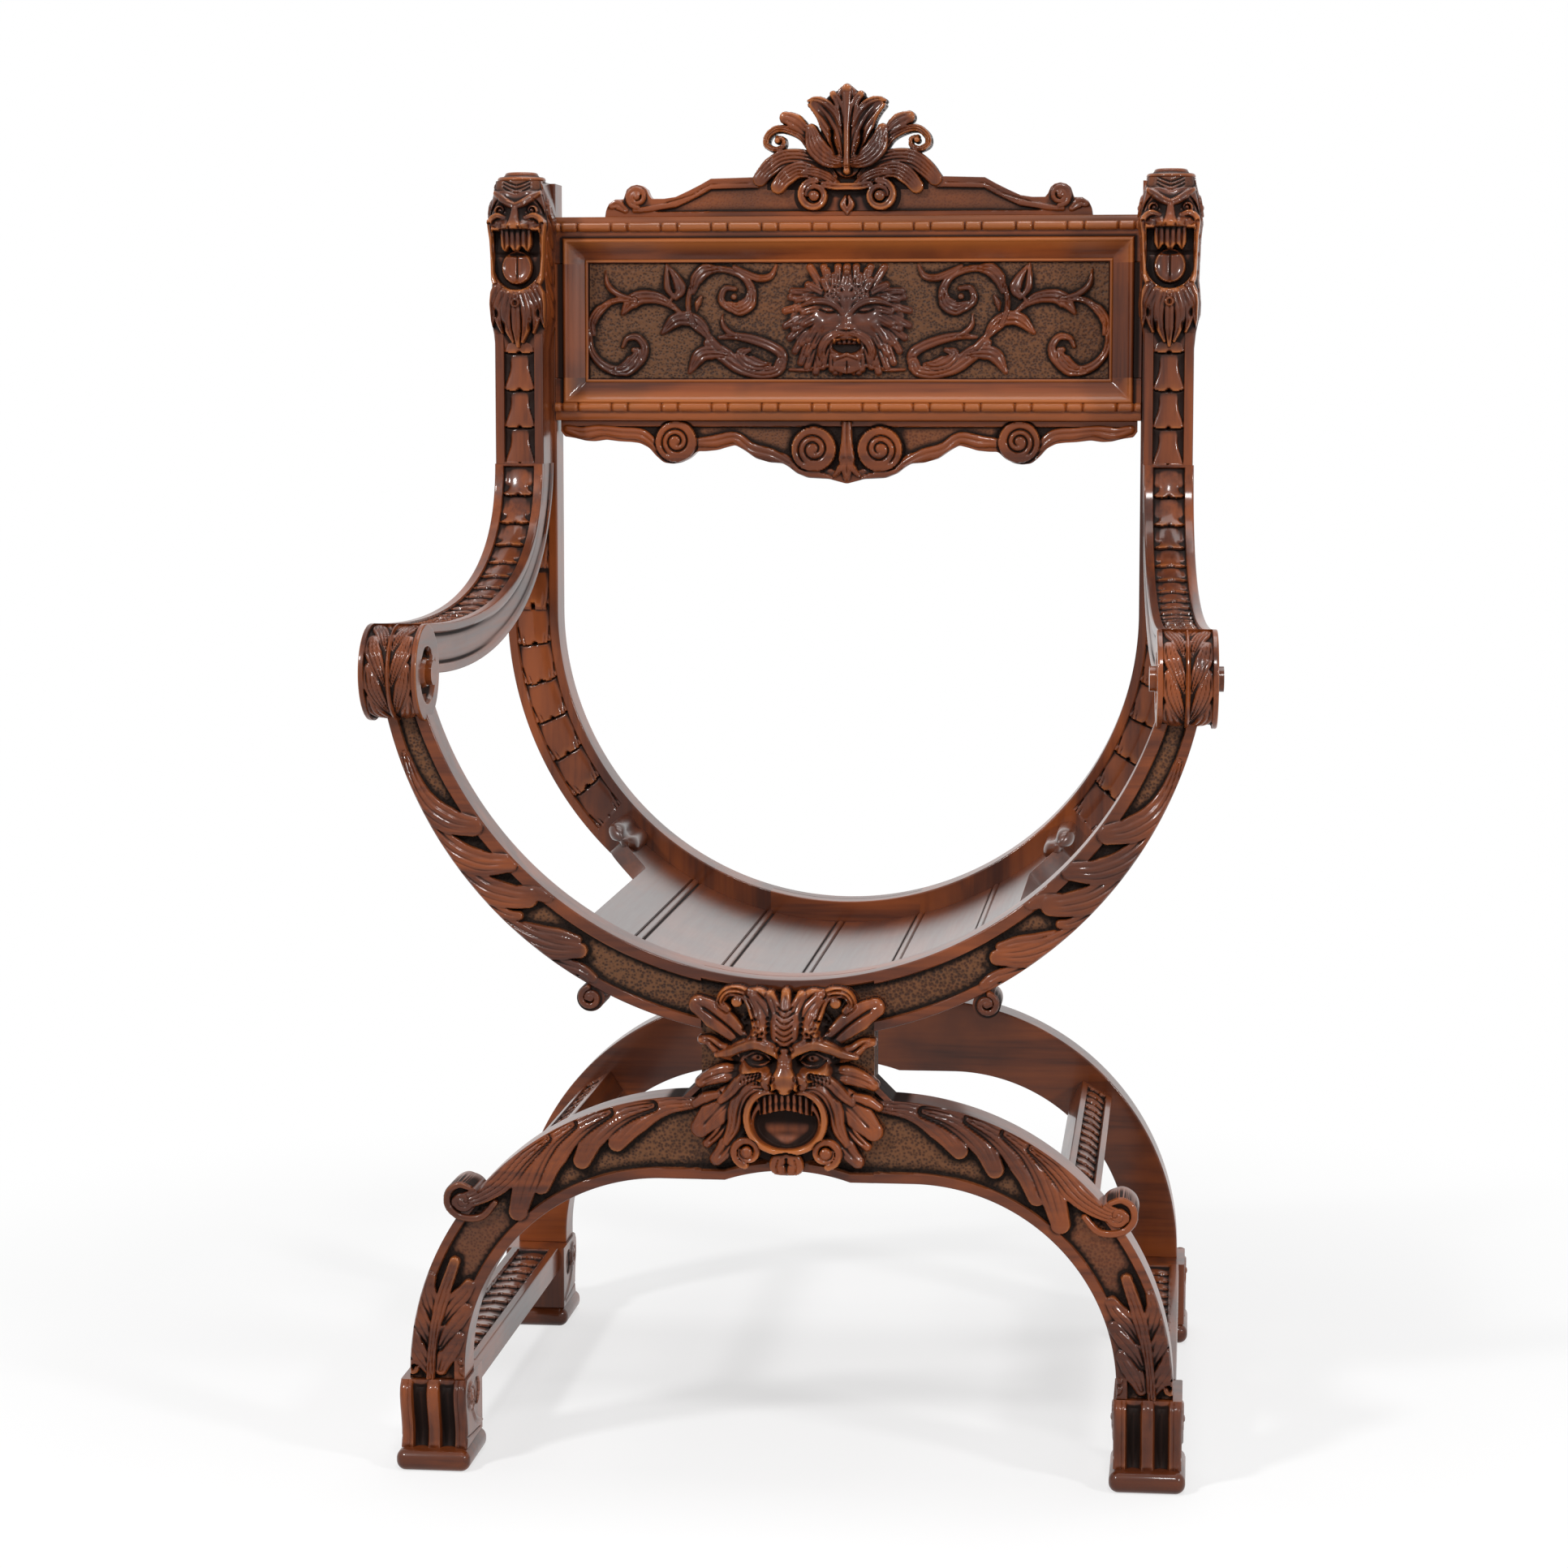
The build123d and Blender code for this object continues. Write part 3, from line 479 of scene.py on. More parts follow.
def walnutFinish(name, grain, seed, gloss=0.42, haze=0.11, depth=0.0):
    # grain is the axis along which the timber's fibres run; the tone darkens hollows with dust and painted
    # shade and lightens the proud places with wear and painted highlight, the stipple lightens punched
    # grounds, and gloss is the strength of the polish
    f = Finish(name)
    place = f.node("ShaderNodeTexCoord", output=3)
    fine, broad = [260.0] * 3, [24.0] * 3
    fine[grain], broad[grain] = 12.0, 2.6
    shift = (seed * 1.7, seed * 0.9, seed * 2.3)
    fineAt = f.node("ShaderNodeMapping", sockets={"Vector": place, "Location": shift, "Scale": fine})
    broadAt = f.node("ShaderNodeMapping", sockets={"Vector": place, "Location": shift, "Scale": broad})
    fibres = f.node("ShaderNodeTexNoise", sockets={"Vector": fineAt, "Scale": 1.0, "Detail": 3.0})
    figure = f.node("ShaderNodeTexNoise",
                    sockets={"Vector": broadAt, "Scale": 1.0, "Detail": 4.0, "Distortion": 0.7})
    cloud = f.node("ShaderNodeTexNoise", sockets={"Vector": place, "Scale": 9.0, "Detail": 4.0})
    punches = f.node("ShaderNodeTexVoronoi", sockets={"Vector": place, "Scale": 430.0})
    tone = f.node("ShaderNodeAttribute", {"attribute_name": "tone"}, output=2)
    stipple = f.node("ShaderNodeAttribute", {"attribute_name": "stipple"}, output=2)

    c = woodColours
    colour = f.mix(f.between(figure + fibres * 0.2, 0.42, 0.78), c["heart"], c["sap"])
    colour = f.mix(f.between(figure * 0.8 + fibres * 0.6, 0.68, 0.50) * 0.35, colour, c["streak"])
    colour = f.mix(f.between(cloud, 0.44, 0.64) * 0.6, colour, c["shade"])
    ground = f.mix(f.between(cloud * 0.7 + punches * 0.9, 0.5, 1.0), c["ground"], c["groundLight"])
    colour = f.mix(stipple * 0.85, colour, ground)
    # depth darkens the whole finish towards the streak colour; for the seat this darker copy of the walnut is
    # painted shade
    if depth:
        colour = f.mix(depth, colour, c["streak"])
    # proud places lighten towards the worn colour: wear and painted highlight
    wearAndHighlight = f.between(tone + cloud * 0.4, 0.45, 1.0)
    colour = f.mix(wearAndHighlight * 0.55, colour, c["wornAndHighlight"])
    # hollows darken towards the recess colour: dust and painted shade
    hollow = f.between(tone, -0.02, -0.5)
    colour = f.mix(hollow * 0.95, colour, c["recess"])

    rough = 0.36 + hollow * 0.3 + stipple * 0.1 + (fibres - 0.5) * 0.12
    polish = (1 - hollow) * (gloss - stipple * 0.3)
    relief = fibres * 0.2 + figure * 0.25 + stipple * f.between(punches, 0.1, 0.6) * 2.4
    bump = f.node("ShaderNodeBump", sockets={"Height": relief, "Strength": 0.4, "Distance": 0.0004})
    shader = f.node("ShaderNodeBsdfPrincipled",
                    sockets={"Base Color": colour, "Roughness": rough, "Normal": bump,
                             "Specular IOR Level": 0.14, "Coat Weight": polish, "Coat Roughness": haze})
    f.node("ShaderNodeOutputMaterial", sockets={"Surface": shader})
    return f.material


def screwFinish():
    f = Finish("screwSteel")
    place = f.node("ShaderNodeTexCoord", output=3)
    scratch = f.node("ShaderNodeTexNoise", sockets={"Vector": place, "Scale": 900.0, "Detail": 3.0})
    colour = f.mix(f.between(scratch, 0.35, 0.7), (0.10, 0.08, 0.065, 1), (0.22, 0.19, 0.16, 1))
    shader = f.node("ShaderNodeBsdfPrincipled",
                    sockets={"Base Color": colour, "Metallic": 1.0, "Roughness": scratch * 0.4 + 0.25})
    f.node("ShaderNodeOutputMaterial", sockets={"Surface": shader})
    return f.material


walnut = {
    "across": walnutFinish("walnutAcross", 0, 1.0),
    "deep": walnutFinish("walnutDeep", 1, 2.0),
    "upright": walnutFinish("walnutUpright", 2, 3.0),
    "seat": walnutFinish("walnutSeat", 1, 2.0, gloss=0.95, haze=0.24, depth=0.45),
    "screw": screwFinish(),
}
print("materials made")


def paint(piece, grain):
    piece.data.materials.clear()
    piece.data.materials.append(walnut[grain])


def finishPiece(piece, grain, nodes):
    # without a grain, the piece keeps the materials its parts were given
    if grain:
        paint(piece, grain)
    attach(piece, "root")
    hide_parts(*nodes)


def finishPair(piece, name, grain, nodes):
    # a right-hand piece and its left-hand twin
    left = mirrored(piece, name + "Left")
    finishPiece(piece, grain, [node + "_right" for node in nodes])
    finishPiece(left, grain, [node + "_left" for node in nodes])


# ---- front frame

frontFrame = {
    "face": -243.0, "back": -205.0, "lap": 66.0,
    # bowls are (height of centre, radius), arches (x and height of centre, radius)
    "bowlOuter": (658.0, 315.0), "bowlInner": (678.0, 290.0), "top": 602.0,
    "archOuter": (72.0, 75.0, 222.0), "archInner": (96.0, 78.0, 155.0), "footTop": 71.0, "shoulder": 14.0,
    "border": 8.0, "ground": 4.2, "uneven": 0.3, "cell": 0.86,
}
crossing = {"soffit": 233.0, "hollowHalf": 48.0, "hollowRadius": 148.0, "hollowRise": 8.0, "cell": 1.2}


def bowlEdges(f, step):
    # lines from the crossing's lap up to the top of the frame
    rings = f["bowlInner"], f["bowlOuter"]
    spans = []
    for height, radius in rings:
        spans.append((math.asin(f["lap"] / radius), math.acos(max(-1, min(1, (height - f["top"]) / radius)))))
    count = int((rings[0][1] + rings[1][1]) / 2 * (spans[0][1] - spans[0][0]) / step)
    edges = []
    for (height, radius), (start, end) in zip(rings, spans):
        angle = start + (end - start) * np.linspace(0, 1, count)
        edges.append(np.stack([radius * np.sin(angle), height - radius * np.cos(angle)], axis=1))
    return edges


def archEdges(step):
    # rays from a point between the two circles cut both edges; both frames stand on the same arch
    f = frontFrame
    outer, inner = f["archOuter"], f["archInner"]
    middle = ((outer[0] + inner[0]) / 2, (outer[1] + inner[1]) / 2)
    soffit = inner[1] + inner[2]
    places = []
    for x in np.arange(f["lap"], middle[0], step):
        high = outer[1] + math.sqrt(outer[2] ** 2 - max(x - outer[0], 0) ** 2)
        shoulder = outer[1] + outer[2] + f["shoulder"] - (x - f["lap"])
        places.append(((x, soffit), (x, max(high, shoulder))))
    count = int((outer[2] + inner[2]) / 2 * math.pi / 2 / step)
    for angle in np.linspace(math.pi / 2, 0, count):
        d = (math.cos(angle), math.sin(angle))
        far = hitCircle(middle, d, outer[:2], outer[2])
        near = hitCircle(middle, d, inner[:2], inner[2])
        flat = (soffit - middle[1]) / max(d[1], 1e-6)
        if middle[0] + flat * d[0] < inner[0]:
            near = flat
        places.append([(middle[0] + reach * d[0], middle[1] + reach * d[1]) for reach in (near, far)])
    for z in np.linspace(middle[1], f["footTop"], 8)[1:]:
        places.append(((inner[0] + inner[2], z), (outer[0] + outer[2], z)))
    places = np.array(places)
    return places[:, 0], places[:, 1]


def crossingEdges(f, step):
    # hollowed below, between two shoulders; the top follows the bowl
    c = crossing
    height, radius = f["bowlInner"]
    x = np.linspace(-f["lap"], f["lap"], round(2 * f["lap"] / step) + 1)
    arc = np.sqrt(c["hollowRadius"] ** 2 - np.minimum(np.abs(x), c["hollowHalf"]) ** 2)
    arc = c["soffit"] + c["hollowRise"] - c["hollowRadius"] + arc
    low = np.where(np.abs(x) < c["hollowHalf"], arc, c["soffit"])
    return np.stack([x, low], axis=1), np.stack([x, height - np.sqrt(radius ** 2 - x ** 2)], axis=1)


def frameBar(inner, outer, front, back, counts, arris=1.3):
    # a bar between two lines drawn on the frame's plane
    sides = ((inner, front), (outer, front), (outer, back), (inner, back))
    return Bar([lineAt(edge[:, 0], y, edge[:, 1]) for edge, y in sides], counts, arris)


bowlLeaves = [
    # path, half widths, heights, grooves; the upper lobes lie over the lower ones
    ([(192, 404), (172, 398), (157, 393), (149, 387)], [3, 5, 5.2, 4.2], [-1.2, 0.2, 1.4, 2], 1),
    ([(206, 428), (190, 423), (174, 420), (161, 416)], [3, 4.6, 5, 4], [-1.2, 0.6, 1.8, 1.4], 1),
    ([(243, 453), (228, 435), (207, 420), (183, 410), (159, 408)], [4.5, 7.5, 9.5, 9.5, 6.5],
     [-1.4, 0.2, 1.8, 2.6, 2.6], 3),
    ([(238, 449), (227, 441), (214, 435), (206, 434)], [3, 4.5, 4.6, 4], [-1.2, 0.2, 1.4, 1.6], 1),
    ([(204, 453), (192, 451), (184, 449)], [5.5, 6.2, 5], [0.8, 1.6, 2.2], 0),
    ([(270, 494), (253, 471), (232, 455), (212, 449), (199, 448)], [4.5, 8, 10.5, 10.5, 8.5],
     [-1.4, 0.4, 2, 2.9, 2.9], 3),
    ([(284, 524), (273, 500), (256, 483), (234, 474), (214, 474)], [4.5, 8, 10.5, 10.5, 7.5],
     [-1.4, 0.6, 2.2, 3.1, 3.1], 3),
    ([(293, 556), (286, 534), (275, 517), (258, 506), (241, 502)], [4, 7, 9.5, 10.5, 8],
     [0, 0.9, 2.2, 3.2, 3.2], 3),
]
archLeaves = [
    ([(72, 292), (96, 289), (116, 276), (131, 260)], [5, 8.4, 9.6, 7.2], [-0.2, 1, 2.4, 3], 3),
    ([(104, 289), (128, 281), (148, 265), (158, 246)], [5, 8.4, 9.8, 7.4], [-1.2, 0.6, 2.4, 3.2], 3),
    ([(138, 283), (163, 269), (181, 247), (190, 226)], [5, 9, 10.6, 7.8], [-1.2, 0.8, 2.6, 3.4], 3),
    ([(166, 273), (186, 257), (200, 232), (208, 205)], [5, 9, 10.6, 7.8], [-1.2, 0.9, 2.8, 3.6], 3),
    ([(186, 262), (205, 247), (222, 228), (240, 216), (255, 211)], [5, 9, 10.5, 8.4, 5.5],
     [-1, 1, 3, 3.4, 2.8], 4),
]
legLeaves = [
    ([(279, 78), (285, 88), (290, 98), (291, 106)], [5, 7.5, 7.5, 5.6], [0.2, 1.8, 2.8, 2.4], 2),
    ([(270, 78), (266, 88), (260, 98), (256, 104)], [5, 7.5, 7.5, 5.6], [0.2, 1.8, 2.8, 2.4], 2),
    ([(277, 100), (282, 113), (287, 124), (287, 132)], [5, 7.8, 8, 5.8], [0, 1.8, 3, 2.6], 2),
    ([(271, 98), (265, 110), (256, 120), (250, 126)], [5, 8, 8.2, 6], [0, 1.8, 3, 2.6], 2),
    ([(274, 120), (277, 133), (279, 143), (277, 151)], [4.5, 7, 6.8, 4.8], [0.2, 2, 2.9, 2.4], 2),
    ([(268, 118), (261, 130), (252, 139), (247, 146)], [4.5, 7, 7, 5], [0.2, 2, 2.9, 2.4], 2),
    ([(278, 72), (275, 104), (268, 134), (258, 164)], [3.6, 3.8, 5.6, 4.6], [2.8, 3.4, 3.8, 3], 2),
]


def carveLeaves(relief, leaves, flute=1.1, crown=1.7):
    for path, widths, heights, flutes in leaves:
        relief.stroke(path, widths, heights, flutes, flute, 1.1, crown)


def edgeRib(relief, gap, breadth, flute, where):
    # the lobes spring from a fluted rib along the outer edge
    rib = smooth((breadth - gap) / 2.5) * where
    relief.blend(rib, -0.9 - 0.8 * bell(gap - flute, 0.9))
    relief.stipple *= 1 - rib


def frontBowl():
    f = frontFrame
    inner, outer = bowlEdges(f, f["cell"])
    bar = frameBar(inner, outer, f["face"], f["back"], (54, 6, 4, 6))
    face = bar.faces[0]
    relief = face["relief"]
    x, z = relief.x, relief.z
    low = smooth((face["across"] - f["border"] - 1) / 1.2)
    leafy = smooth((552 - z) / 14) * smooth((x - 158) / 5)
    low = low * np.maximum(smooth((face["back"] - 7.5) / 1.2), leafy)
    relief.sink(low, f["ground"])
    relief.height += low * f["uneven"] * noise(x, z, 5, 3)
    edgeRib(relief, face["back"], 9.5, 5, leafy)
    carveLeaves(relief, bowlLeaves)
    for px, pz in ((222, 498), (196, 466), (180, 441), (148, 401)):
        relief.mound(px, pz, 3, 3, -0.8)
    relief.stroke(spiral(151, 372, 11, 3, 1.3, 60, -1), 2.6, 1.6, crown=0.8)
    return bar.build("frontBowl", f["cell"])


def frontArch():
    f = frontFrame
    inner, outer = archEdges(f["cell"])
    bar = frameBar(inner, outer, f["face"], f["back"], (62, 6, 4, 6))
    face, outside = bar.faces[:2]
    relief = face["relief"]
    x, z = relief.x, relief.z
    low = smooth((face["across"] - f["border"]) / 1.2)
    leafy = smooth((x - 92) / 4) * smooth((z - 214) / 6)
    foot = smooth((150 - z) / 10) * smooth((x - 200) / 5)
    low = low * np.maximum(smooth((face["back"] - 6.5) / 1.2), np.maximum(leafy, foot))
    relief.sink(low, f["ground"])
    relief.stipple *= 0.55 + 0.45 * smooth((z - 196) / 16)
    relief.height += low * f["uneven"] * noise(x, z, 5, 5)
    edgeRib(relief, face["back"], 8.5, 4.5, leafy)
    carveLeaves(relief, archLeaves)
    carveLeaves(relief, legLeaves)
    # painted shade darkens the outer side beside the crossing
    outside["relief"].shade -= 0.6 * smooth((98 - outside["base"][:, :, 0]) / 12)
    relief.stroke(spiral(251, 79.5, 6, 2.8, 0.8, 60, 1), 2.2, 1.8)
    relief.stroke(spiral(291, 79.5, 5, 2.4, 0.8, 120, -1), 2.2, 1.8)
    return bar.build("frontArch", f["cell"])


curlCell = 0.6


def bowlCurl():
    # rolled leaf end that stands out past the frame's edge
    x, z, breadth, radius, height = 151, 371.8, 2.6, 10.6, 1.8
    path = spiral(x, z, 8.3, 2.6, 1.2, 75, -1)
    low, high = path.min(0) - breadth - 3, path.max(0) + breadth + 3
    gridX, gridZ = plateGrid(low[0], high[0], low[1], high[1], curlCell)
    relief = Relief(gridX, gridZ, -1.8)
    relief.solid = np.minimum(relief.solid, np.hypot(gridX - x, gridZ - z) - radius)
    relief.stroke(path, breadth, height, crown=1.2)
    relief.knob(x, z, radius * 0.3, height, 0.8)
    return platePiece("bowlCurl", relief, frontFrame["face"], frontFrame["back"], gridX, gridZ, curlCell)


def legCurl():
    # a band that rolls round the tip of the last lobe
    gridX, gridZ = plateGrid(206, 270, 192, 262, curlCell)
    relief = Relief(gridX, gridZ, -1.6)
    carveLeaves(relief, archLeaves[-1:])
    relief.solid = np.hypot(gridX - 251.5, gridZ - 212.7) - 13.6
    relief.stroke([(226, 211), (235, 201), (245, 198.5), (256, 201), (263, 209), (262, 219), (254, 224.5),
                   (245, 222)], [2.6, 3, 3, 3, 3, 3, 2.8, 2.2], 3, 0, 0.8, 1, 1.4)
    relief.stroke(spiral(251.5, 212, 7.6, 3, 0.9, 200, 1), 2.4, 2.2, 0, 0.8, 1, 1.4)
    return platePiece("legCurl", relief, frontFrame["face"], frontFrame["back"], gridX, gridZ, curlCell)


def frontCrossing(name, front, back):
    f, cell = frontFrame, crossing["cell"]
    low, high = crossingEdges(f, cell)
    bar = frameBar(low, high, front, back, (60, 3, 3, 3), 1.0)
    face = bar.faces[0]
    face["relief"].sink(smooth((face["across"] - 8) / 1.2) * smooth((face["back"] - 8) / 1.2), f["ground"])
    for face in bar.faces[2:]:
        # painted shade darkens the back and the soffit beside the shoulders
        face["relief"].shade -= 0.6 * smooth((np.abs(face["base"][:, :, 0]) - 60) / 3)
    return bar.build(name, cell)


def frontLimbs():
    f = frontFrame
    bowl, arch = frontBowl(), frontArch()
    bowlEnd, legEnd = bowlCurl(), legCurl()
    rightBowl = joined("rightBowl", [bowl, bowlEnd])
    rightArch = joined("rightArch", [arch, legEnd])
    leftBowl, leftArch = mirrored(rightBowl, "leftBowl"), mirrored(rightArch, "leftArch")
    middle = (f["face"] + f["back"]) / 2
    frontHalf = frontCrossing("frontHalf", f["face"], middle)
    backHalf = frontCrossing("backHalf", middle, f["back"])
    left = joined("frontLimbLeft", [leftBowl, frontHalf, rightArch])
    right = joined("frontLimbRight", [rightBowl, backHalf, leftArch])
    finishPiece(left, "across", ["front_limb_left"])
    finishPiece(right, "across", ["front_limb_right"])


frontLimbs()
print("front frame carved")


# ---- rear frame, with a sunk strip of scales up the front of each post

scaleStrip = {
    "fillet": 7.5, "sink": 2.6, "pitch": 32.0, "lift": 2.1, "hole": 1.9, "horn": 12.0, "waist": 0.7,
    # depth of the line beside the fillets and painted shadow under a scale, plain and with whiskers
    "plain": (0.9, 0.42), "whiskered": (0.5, 0.15), "whiskers": ((0.55, 9.0), (0.78, 15.0)),
}


def carveScales(face, ends, pitch=scaleStrip["pitch"], fillet=scaleStrip["fillet"],
                horn=scaleStrip["horn"], waist=scaleStrip["waist"], whiskers=False):
    # scales that hang over one another between two plain fillets, drilled where they meet
    s = scaleStrip
    relief = face["relief"]
    line, dark = s["whiskered" if whiskers else "plain"]
    along, across = face["along"], np.abs(face["across"] - face["back"]) / 2
    width = (face["across"] + face["back"]) / 2 - fillet
    inside = smooth((width - across) / 0.8)
    inside = inside * smooth((along - ends[0]) / 1.2) * smooth((ends[1] - along) / 1.2)
    run = along[:, :1]
    step = pitch(run) if callable(pitch) else pitch * np.ones_like(run)
    turns = np.cumsum(np.gradient(run, axis=0) / step, axis=0)
    turns = turns - np.interp(ends[0], run[:, 0], turns[:, 0])
    # part runs from 0 to 1 down each scale, whose lower edge is bowed
    q = np.clip(across / width, 0, 1)
    bow = 1.7 * np.sin(math.pi * q) - 0.7 * q
    part = np.mod(-turns - bow / step, 1.0)
    above, below = (1 - part) * step, part * step
    waistLine = width * (1 - (1 - waist) * smooth(above / horn) ** 0.7)
    gap = across - waistLine
    cut = smooth((1.45 * horn - above) / (0.5 * horn)) * smooth(above / 1.5 + 0.2)
    scale = -s["sink"] + s["lift"] * part ** 1.3 - 0.9 * np.clip(across / waistLine, 0, 1) ** 2.5
    scale -= 1.1 * smooth(gap / 0.7) * cut + 1.2 * bell(gap, 0.7) * cut
    scale -= 1.5 * bell(below, 1.0) + 0.4 * bell(above, 0.6)
    hole = np.hypot(np.minimum(above + 0.6, below), across)
    scale -= 3.4 * bell(hole, s["hole"], 4)
    scale -= line * bell(across - width, 0.8)
    relief.blend(inside, scale)
    # painted light: lighter towards each scale's lip, with painted shadow under the lip and painted shade in
    # the drilled holes and beside the horns
    relief.shade += inside * (0.34 * part - dark * np.exp(-below / (0.22 * step)) - 0.5 * bell(hole, 2.6)
                              - 0.25 * smooth(gap / 0.7) * cut)
    if whiskers:
        for at, length in s["whiskers"]:
            slit = bell(across - width * (at + 0.012 * above), 0.7) * smooth((length - above) / 2) * inside
            relief.height -= 1.2 * slit
            # the slits take painted shade
            relief.shade -= 0.35 * slit


rearFrame = {
    "face": 227.0, "back": 263.0, "lap": 66.0,
    "bowlOuter": (638.0, 300.0), "bowlInner": (638.0, 255.0), "top": 638.0, "stileTop": 1010.0,
    # places, in x and height, near which the scales begin and end
    "scalesFrom": (197.0, 466.0), "scalesTo": 766.0, "cell": 1.2, "plainCell": 1.6,
}


def rearBowl():
    # the bowl runs on into the stile
    f = rearFrame
    pitch = f["cell"] * 3
    heights = np.append(np.arange(f["top"] + pitch, f["stileTop"], pitch), f["stileTop"])
    lines = []
    for curved, (_, x) in zip(bowlEdges(f, f["cell"]), (f["bowlInner"], f["bowlOuter"])):
        lines.append(np.vstack([curved, np.stack([np.full(len(heights), x), heights], axis=1)]))
    bar = frameBar(*lines, f["face"], f["back"], (54, 4, 3, 4))
    x, z = ((lines[0] + lines[1]) / 2).T
    begin = bar.run[np.argmin(np.hypot(x - f["scalesFrom"][0], z - f["scalesFrom"][1]))]
    finish = bar.run[np.argmin(np.abs(z - f["scalesTo"]) + (x < 200) * 999)]
    carveScales(bar.faces[0], (begin, finish), pitch=34, horn=6, waist=0.95, whiskers=True)
    return bar.build("rearBowl", f["cell"])


def rearLimbs():
    f = rearFrame
    bowl = rearBowl()
    arch = frameBar(*archEdges(f["plainCell"]), f["face"], f["back"], (8, 4, 6, 4))
    arch = arch.build("rearArch", f["plainCell"])
    leftBowl, leftArch = mirrored(bowl, "rearBowlLeft"), mirrored(arch, "rearArchLeft")
    middle = (f["face"] + f["back"]) / 2
    halves = []
    for name, front, back in (("rearFrontHalf", f["face"], middle), ("rearBackHalf", middle, f["back"])):
        bar = frameBar(*crossingEdges(f, f["plainCell"]), front, back, (10, 3, 8, 3), 1.0)
        halves.append(bar.build(name, f["plainCell"]))
    for part in (bowl, leftBowl):
        paint(part, "upright")
    for part in (arch, leftArch, *halves):
        paint(part, "across")
    left = joined("rearLimbLeft", [leftBowl, halves[1], arch])
    right = joined("rearLimbRight", [bowl, halves[0], leftArch])
    finishPiece(left, None, ["rear_limb_left"])
    finishPiece(right, None, ["rear_limb_right"])


rearLimbs()
print("rear frame made")


# ---- feet, plinths, runners and stretchers

feet = {
    "x": 275.0, "width": 52.0, "front": -251.0, "back": -181.0, "bottom": 17.0, "top": 71.0,
    "fluteDepth": 6.5, "fluteHalf": 5.8, "fluteAt": 10.6, "reedAt": 21.0,
    "plinthWidth": 58.0, "plinthFront": -255.0, "plinthBack": -177.0, "plinthEdge": 7.5, "turnedAbout": 10.0,
    # turnedAbout is the depth about which the rear feet mirror the front ones;
    # the swell is a share of the height, and how far the front stands back there
    "swell": ([0, 0.08, 0.25, 0.45, 0.62, 0.8, 0.92, 1.0], [4.5, 7.0, 7.6, 5.0, 2.0, 0.3, 2.0, 8.0]),
}


def uprightBar(x0, x1, front, back, z, counts, arris):
    # a square upright, whose sides may swell on their way up
    corners = ((x0, front), (x1, front), (x1, back), (x0, back))
    return Bar([lineAt(x, y, z) for x, y in corners], counts, arris)


def sideRelief(face):
    # a fresh relief, laid out over depth and height
    face["relief"] = Relief(face["base"][:, :, 1], face["base"][:, :, 2])
    return face["relief"]


def evenRelief(face, middle=0.0):
    # a fresh relief, alike on both sides of the middle
    face["relief"] = Relief(np.abs(face["base"][:, :, 0] - middle), face["base"][:, :, 2])
    return face["relief"]


def reededFoot():
    f = feet
    cell = 0.8
    z = np.arange(f["bottom"], f["top"] + 0.1, cell)
    swell = np.interp((z - f["bottom"]) / (f["top"] - f["bottom"]), *f["swell"])
    front = f["front"] + blurred(swell[:, None], 3)[:, 0]
    half = f["width"] / 2
    bar = uprightBar(f["x"] - half, f["x"] + half, front, f["back"], z, (70, 32, 3, 32), 2.0)
    relief = bar.faces[0]["relief"]
    z = relief.z
    for side in (-1, 1):
        flute = arched(np.abs(relief.x - (f["x"] + side * f["fluteAt"])) / f["fluteHalf"])
        relief.height -= f["fluteDepth"] * flute * smooth((f["top"] - z) / 5)
        relief.height -= 0.9 * bell(relief.x - (f["x"] + side * 19.6), 0.7)
    for side, half in ((-1, 5.0), (0, 4.6), (1, 5.0)):
        reed = arched((relief.x - (f["x"] + side * f["reedAt"])) / half)
        relief.height += 1.8 * reed * smooth((z - f["bottom"]) / 3) - 0.4 * (side == 0)
    for face in (bar.faces[1], bar.faces[3]):
        relief = sideRelief(face)
        relief.stroke(spiral(-230, 54, 13, 4, 1.6, -60, 1), 2.2, 1.4, crown=0.9)
        relief.knob(-230, 54, 3.4, 1.4, 1)
        relief.stroke([(-222, 42), (-212, 33), (-198, 27), (-186, 24)], [2.2, 2.6, 2.2, 1.6], 1.2, crown=0.8)
        relief.groove([(-247, 26), (-235, 24), (-215, 22), (-190, 20)], 0.8, 1)
        relief.height -= 1.4 * (np.hypot((relief.x + 206) / 11, (relief.z - 53) / 11) < 1)
    return bar.build("footRight", cell)


def plinth():
    f = feet
    deselectAll()
    bpy.ops.mesh.primitive_cube_add(size=1.0)
    piece = named(bpy.context.active_object, "plinthRight")
    size = np.array([f["plinthWidth"], f["plinthBack"] - f["plinthFront"], f["bottom"]])
    middle = np.array([f["x"], (f["plinthFront"] + f["plinthBack"]) / 2, f["bottom"] / 2])
    places = np.zeros(24)
    piece.data.vertices.foreach_get("co", places)
    piece.data.vertices.foreach_set("co", ((places.reshape(8, 3) * size + middle) * mm).ravel())
    bevel = piece.modifiers.new("edges", "BEVEL")
    bevel.width, bevel.segments = f["plinthEdge"] * mm, 8
    bpy.ops.object.modifier_apply(modifier="edges")
    bpy.ops.object.shade_smooth_by_angle(angle=math.radians(40))
    return piece


def makeFeet():
    # the rear ones are the front ones turned over, so that they face the back
    for piece, grain, node in ((reededFoot(), "upright", "foot"), (plinth(), "across", "plinth")):
        name = node.capitalize()
        rear = twinOf(piece, "rear" + name + "Right", (1, -1, 1), 2 * feet["turnedAbout"])
        named(piece, "front" + name + "Right")
        for made, place in ((piece, "front"), (rear, "rear")):
            finishPair(made, place + name, grain, [place + "_" + node])


makeFeet()

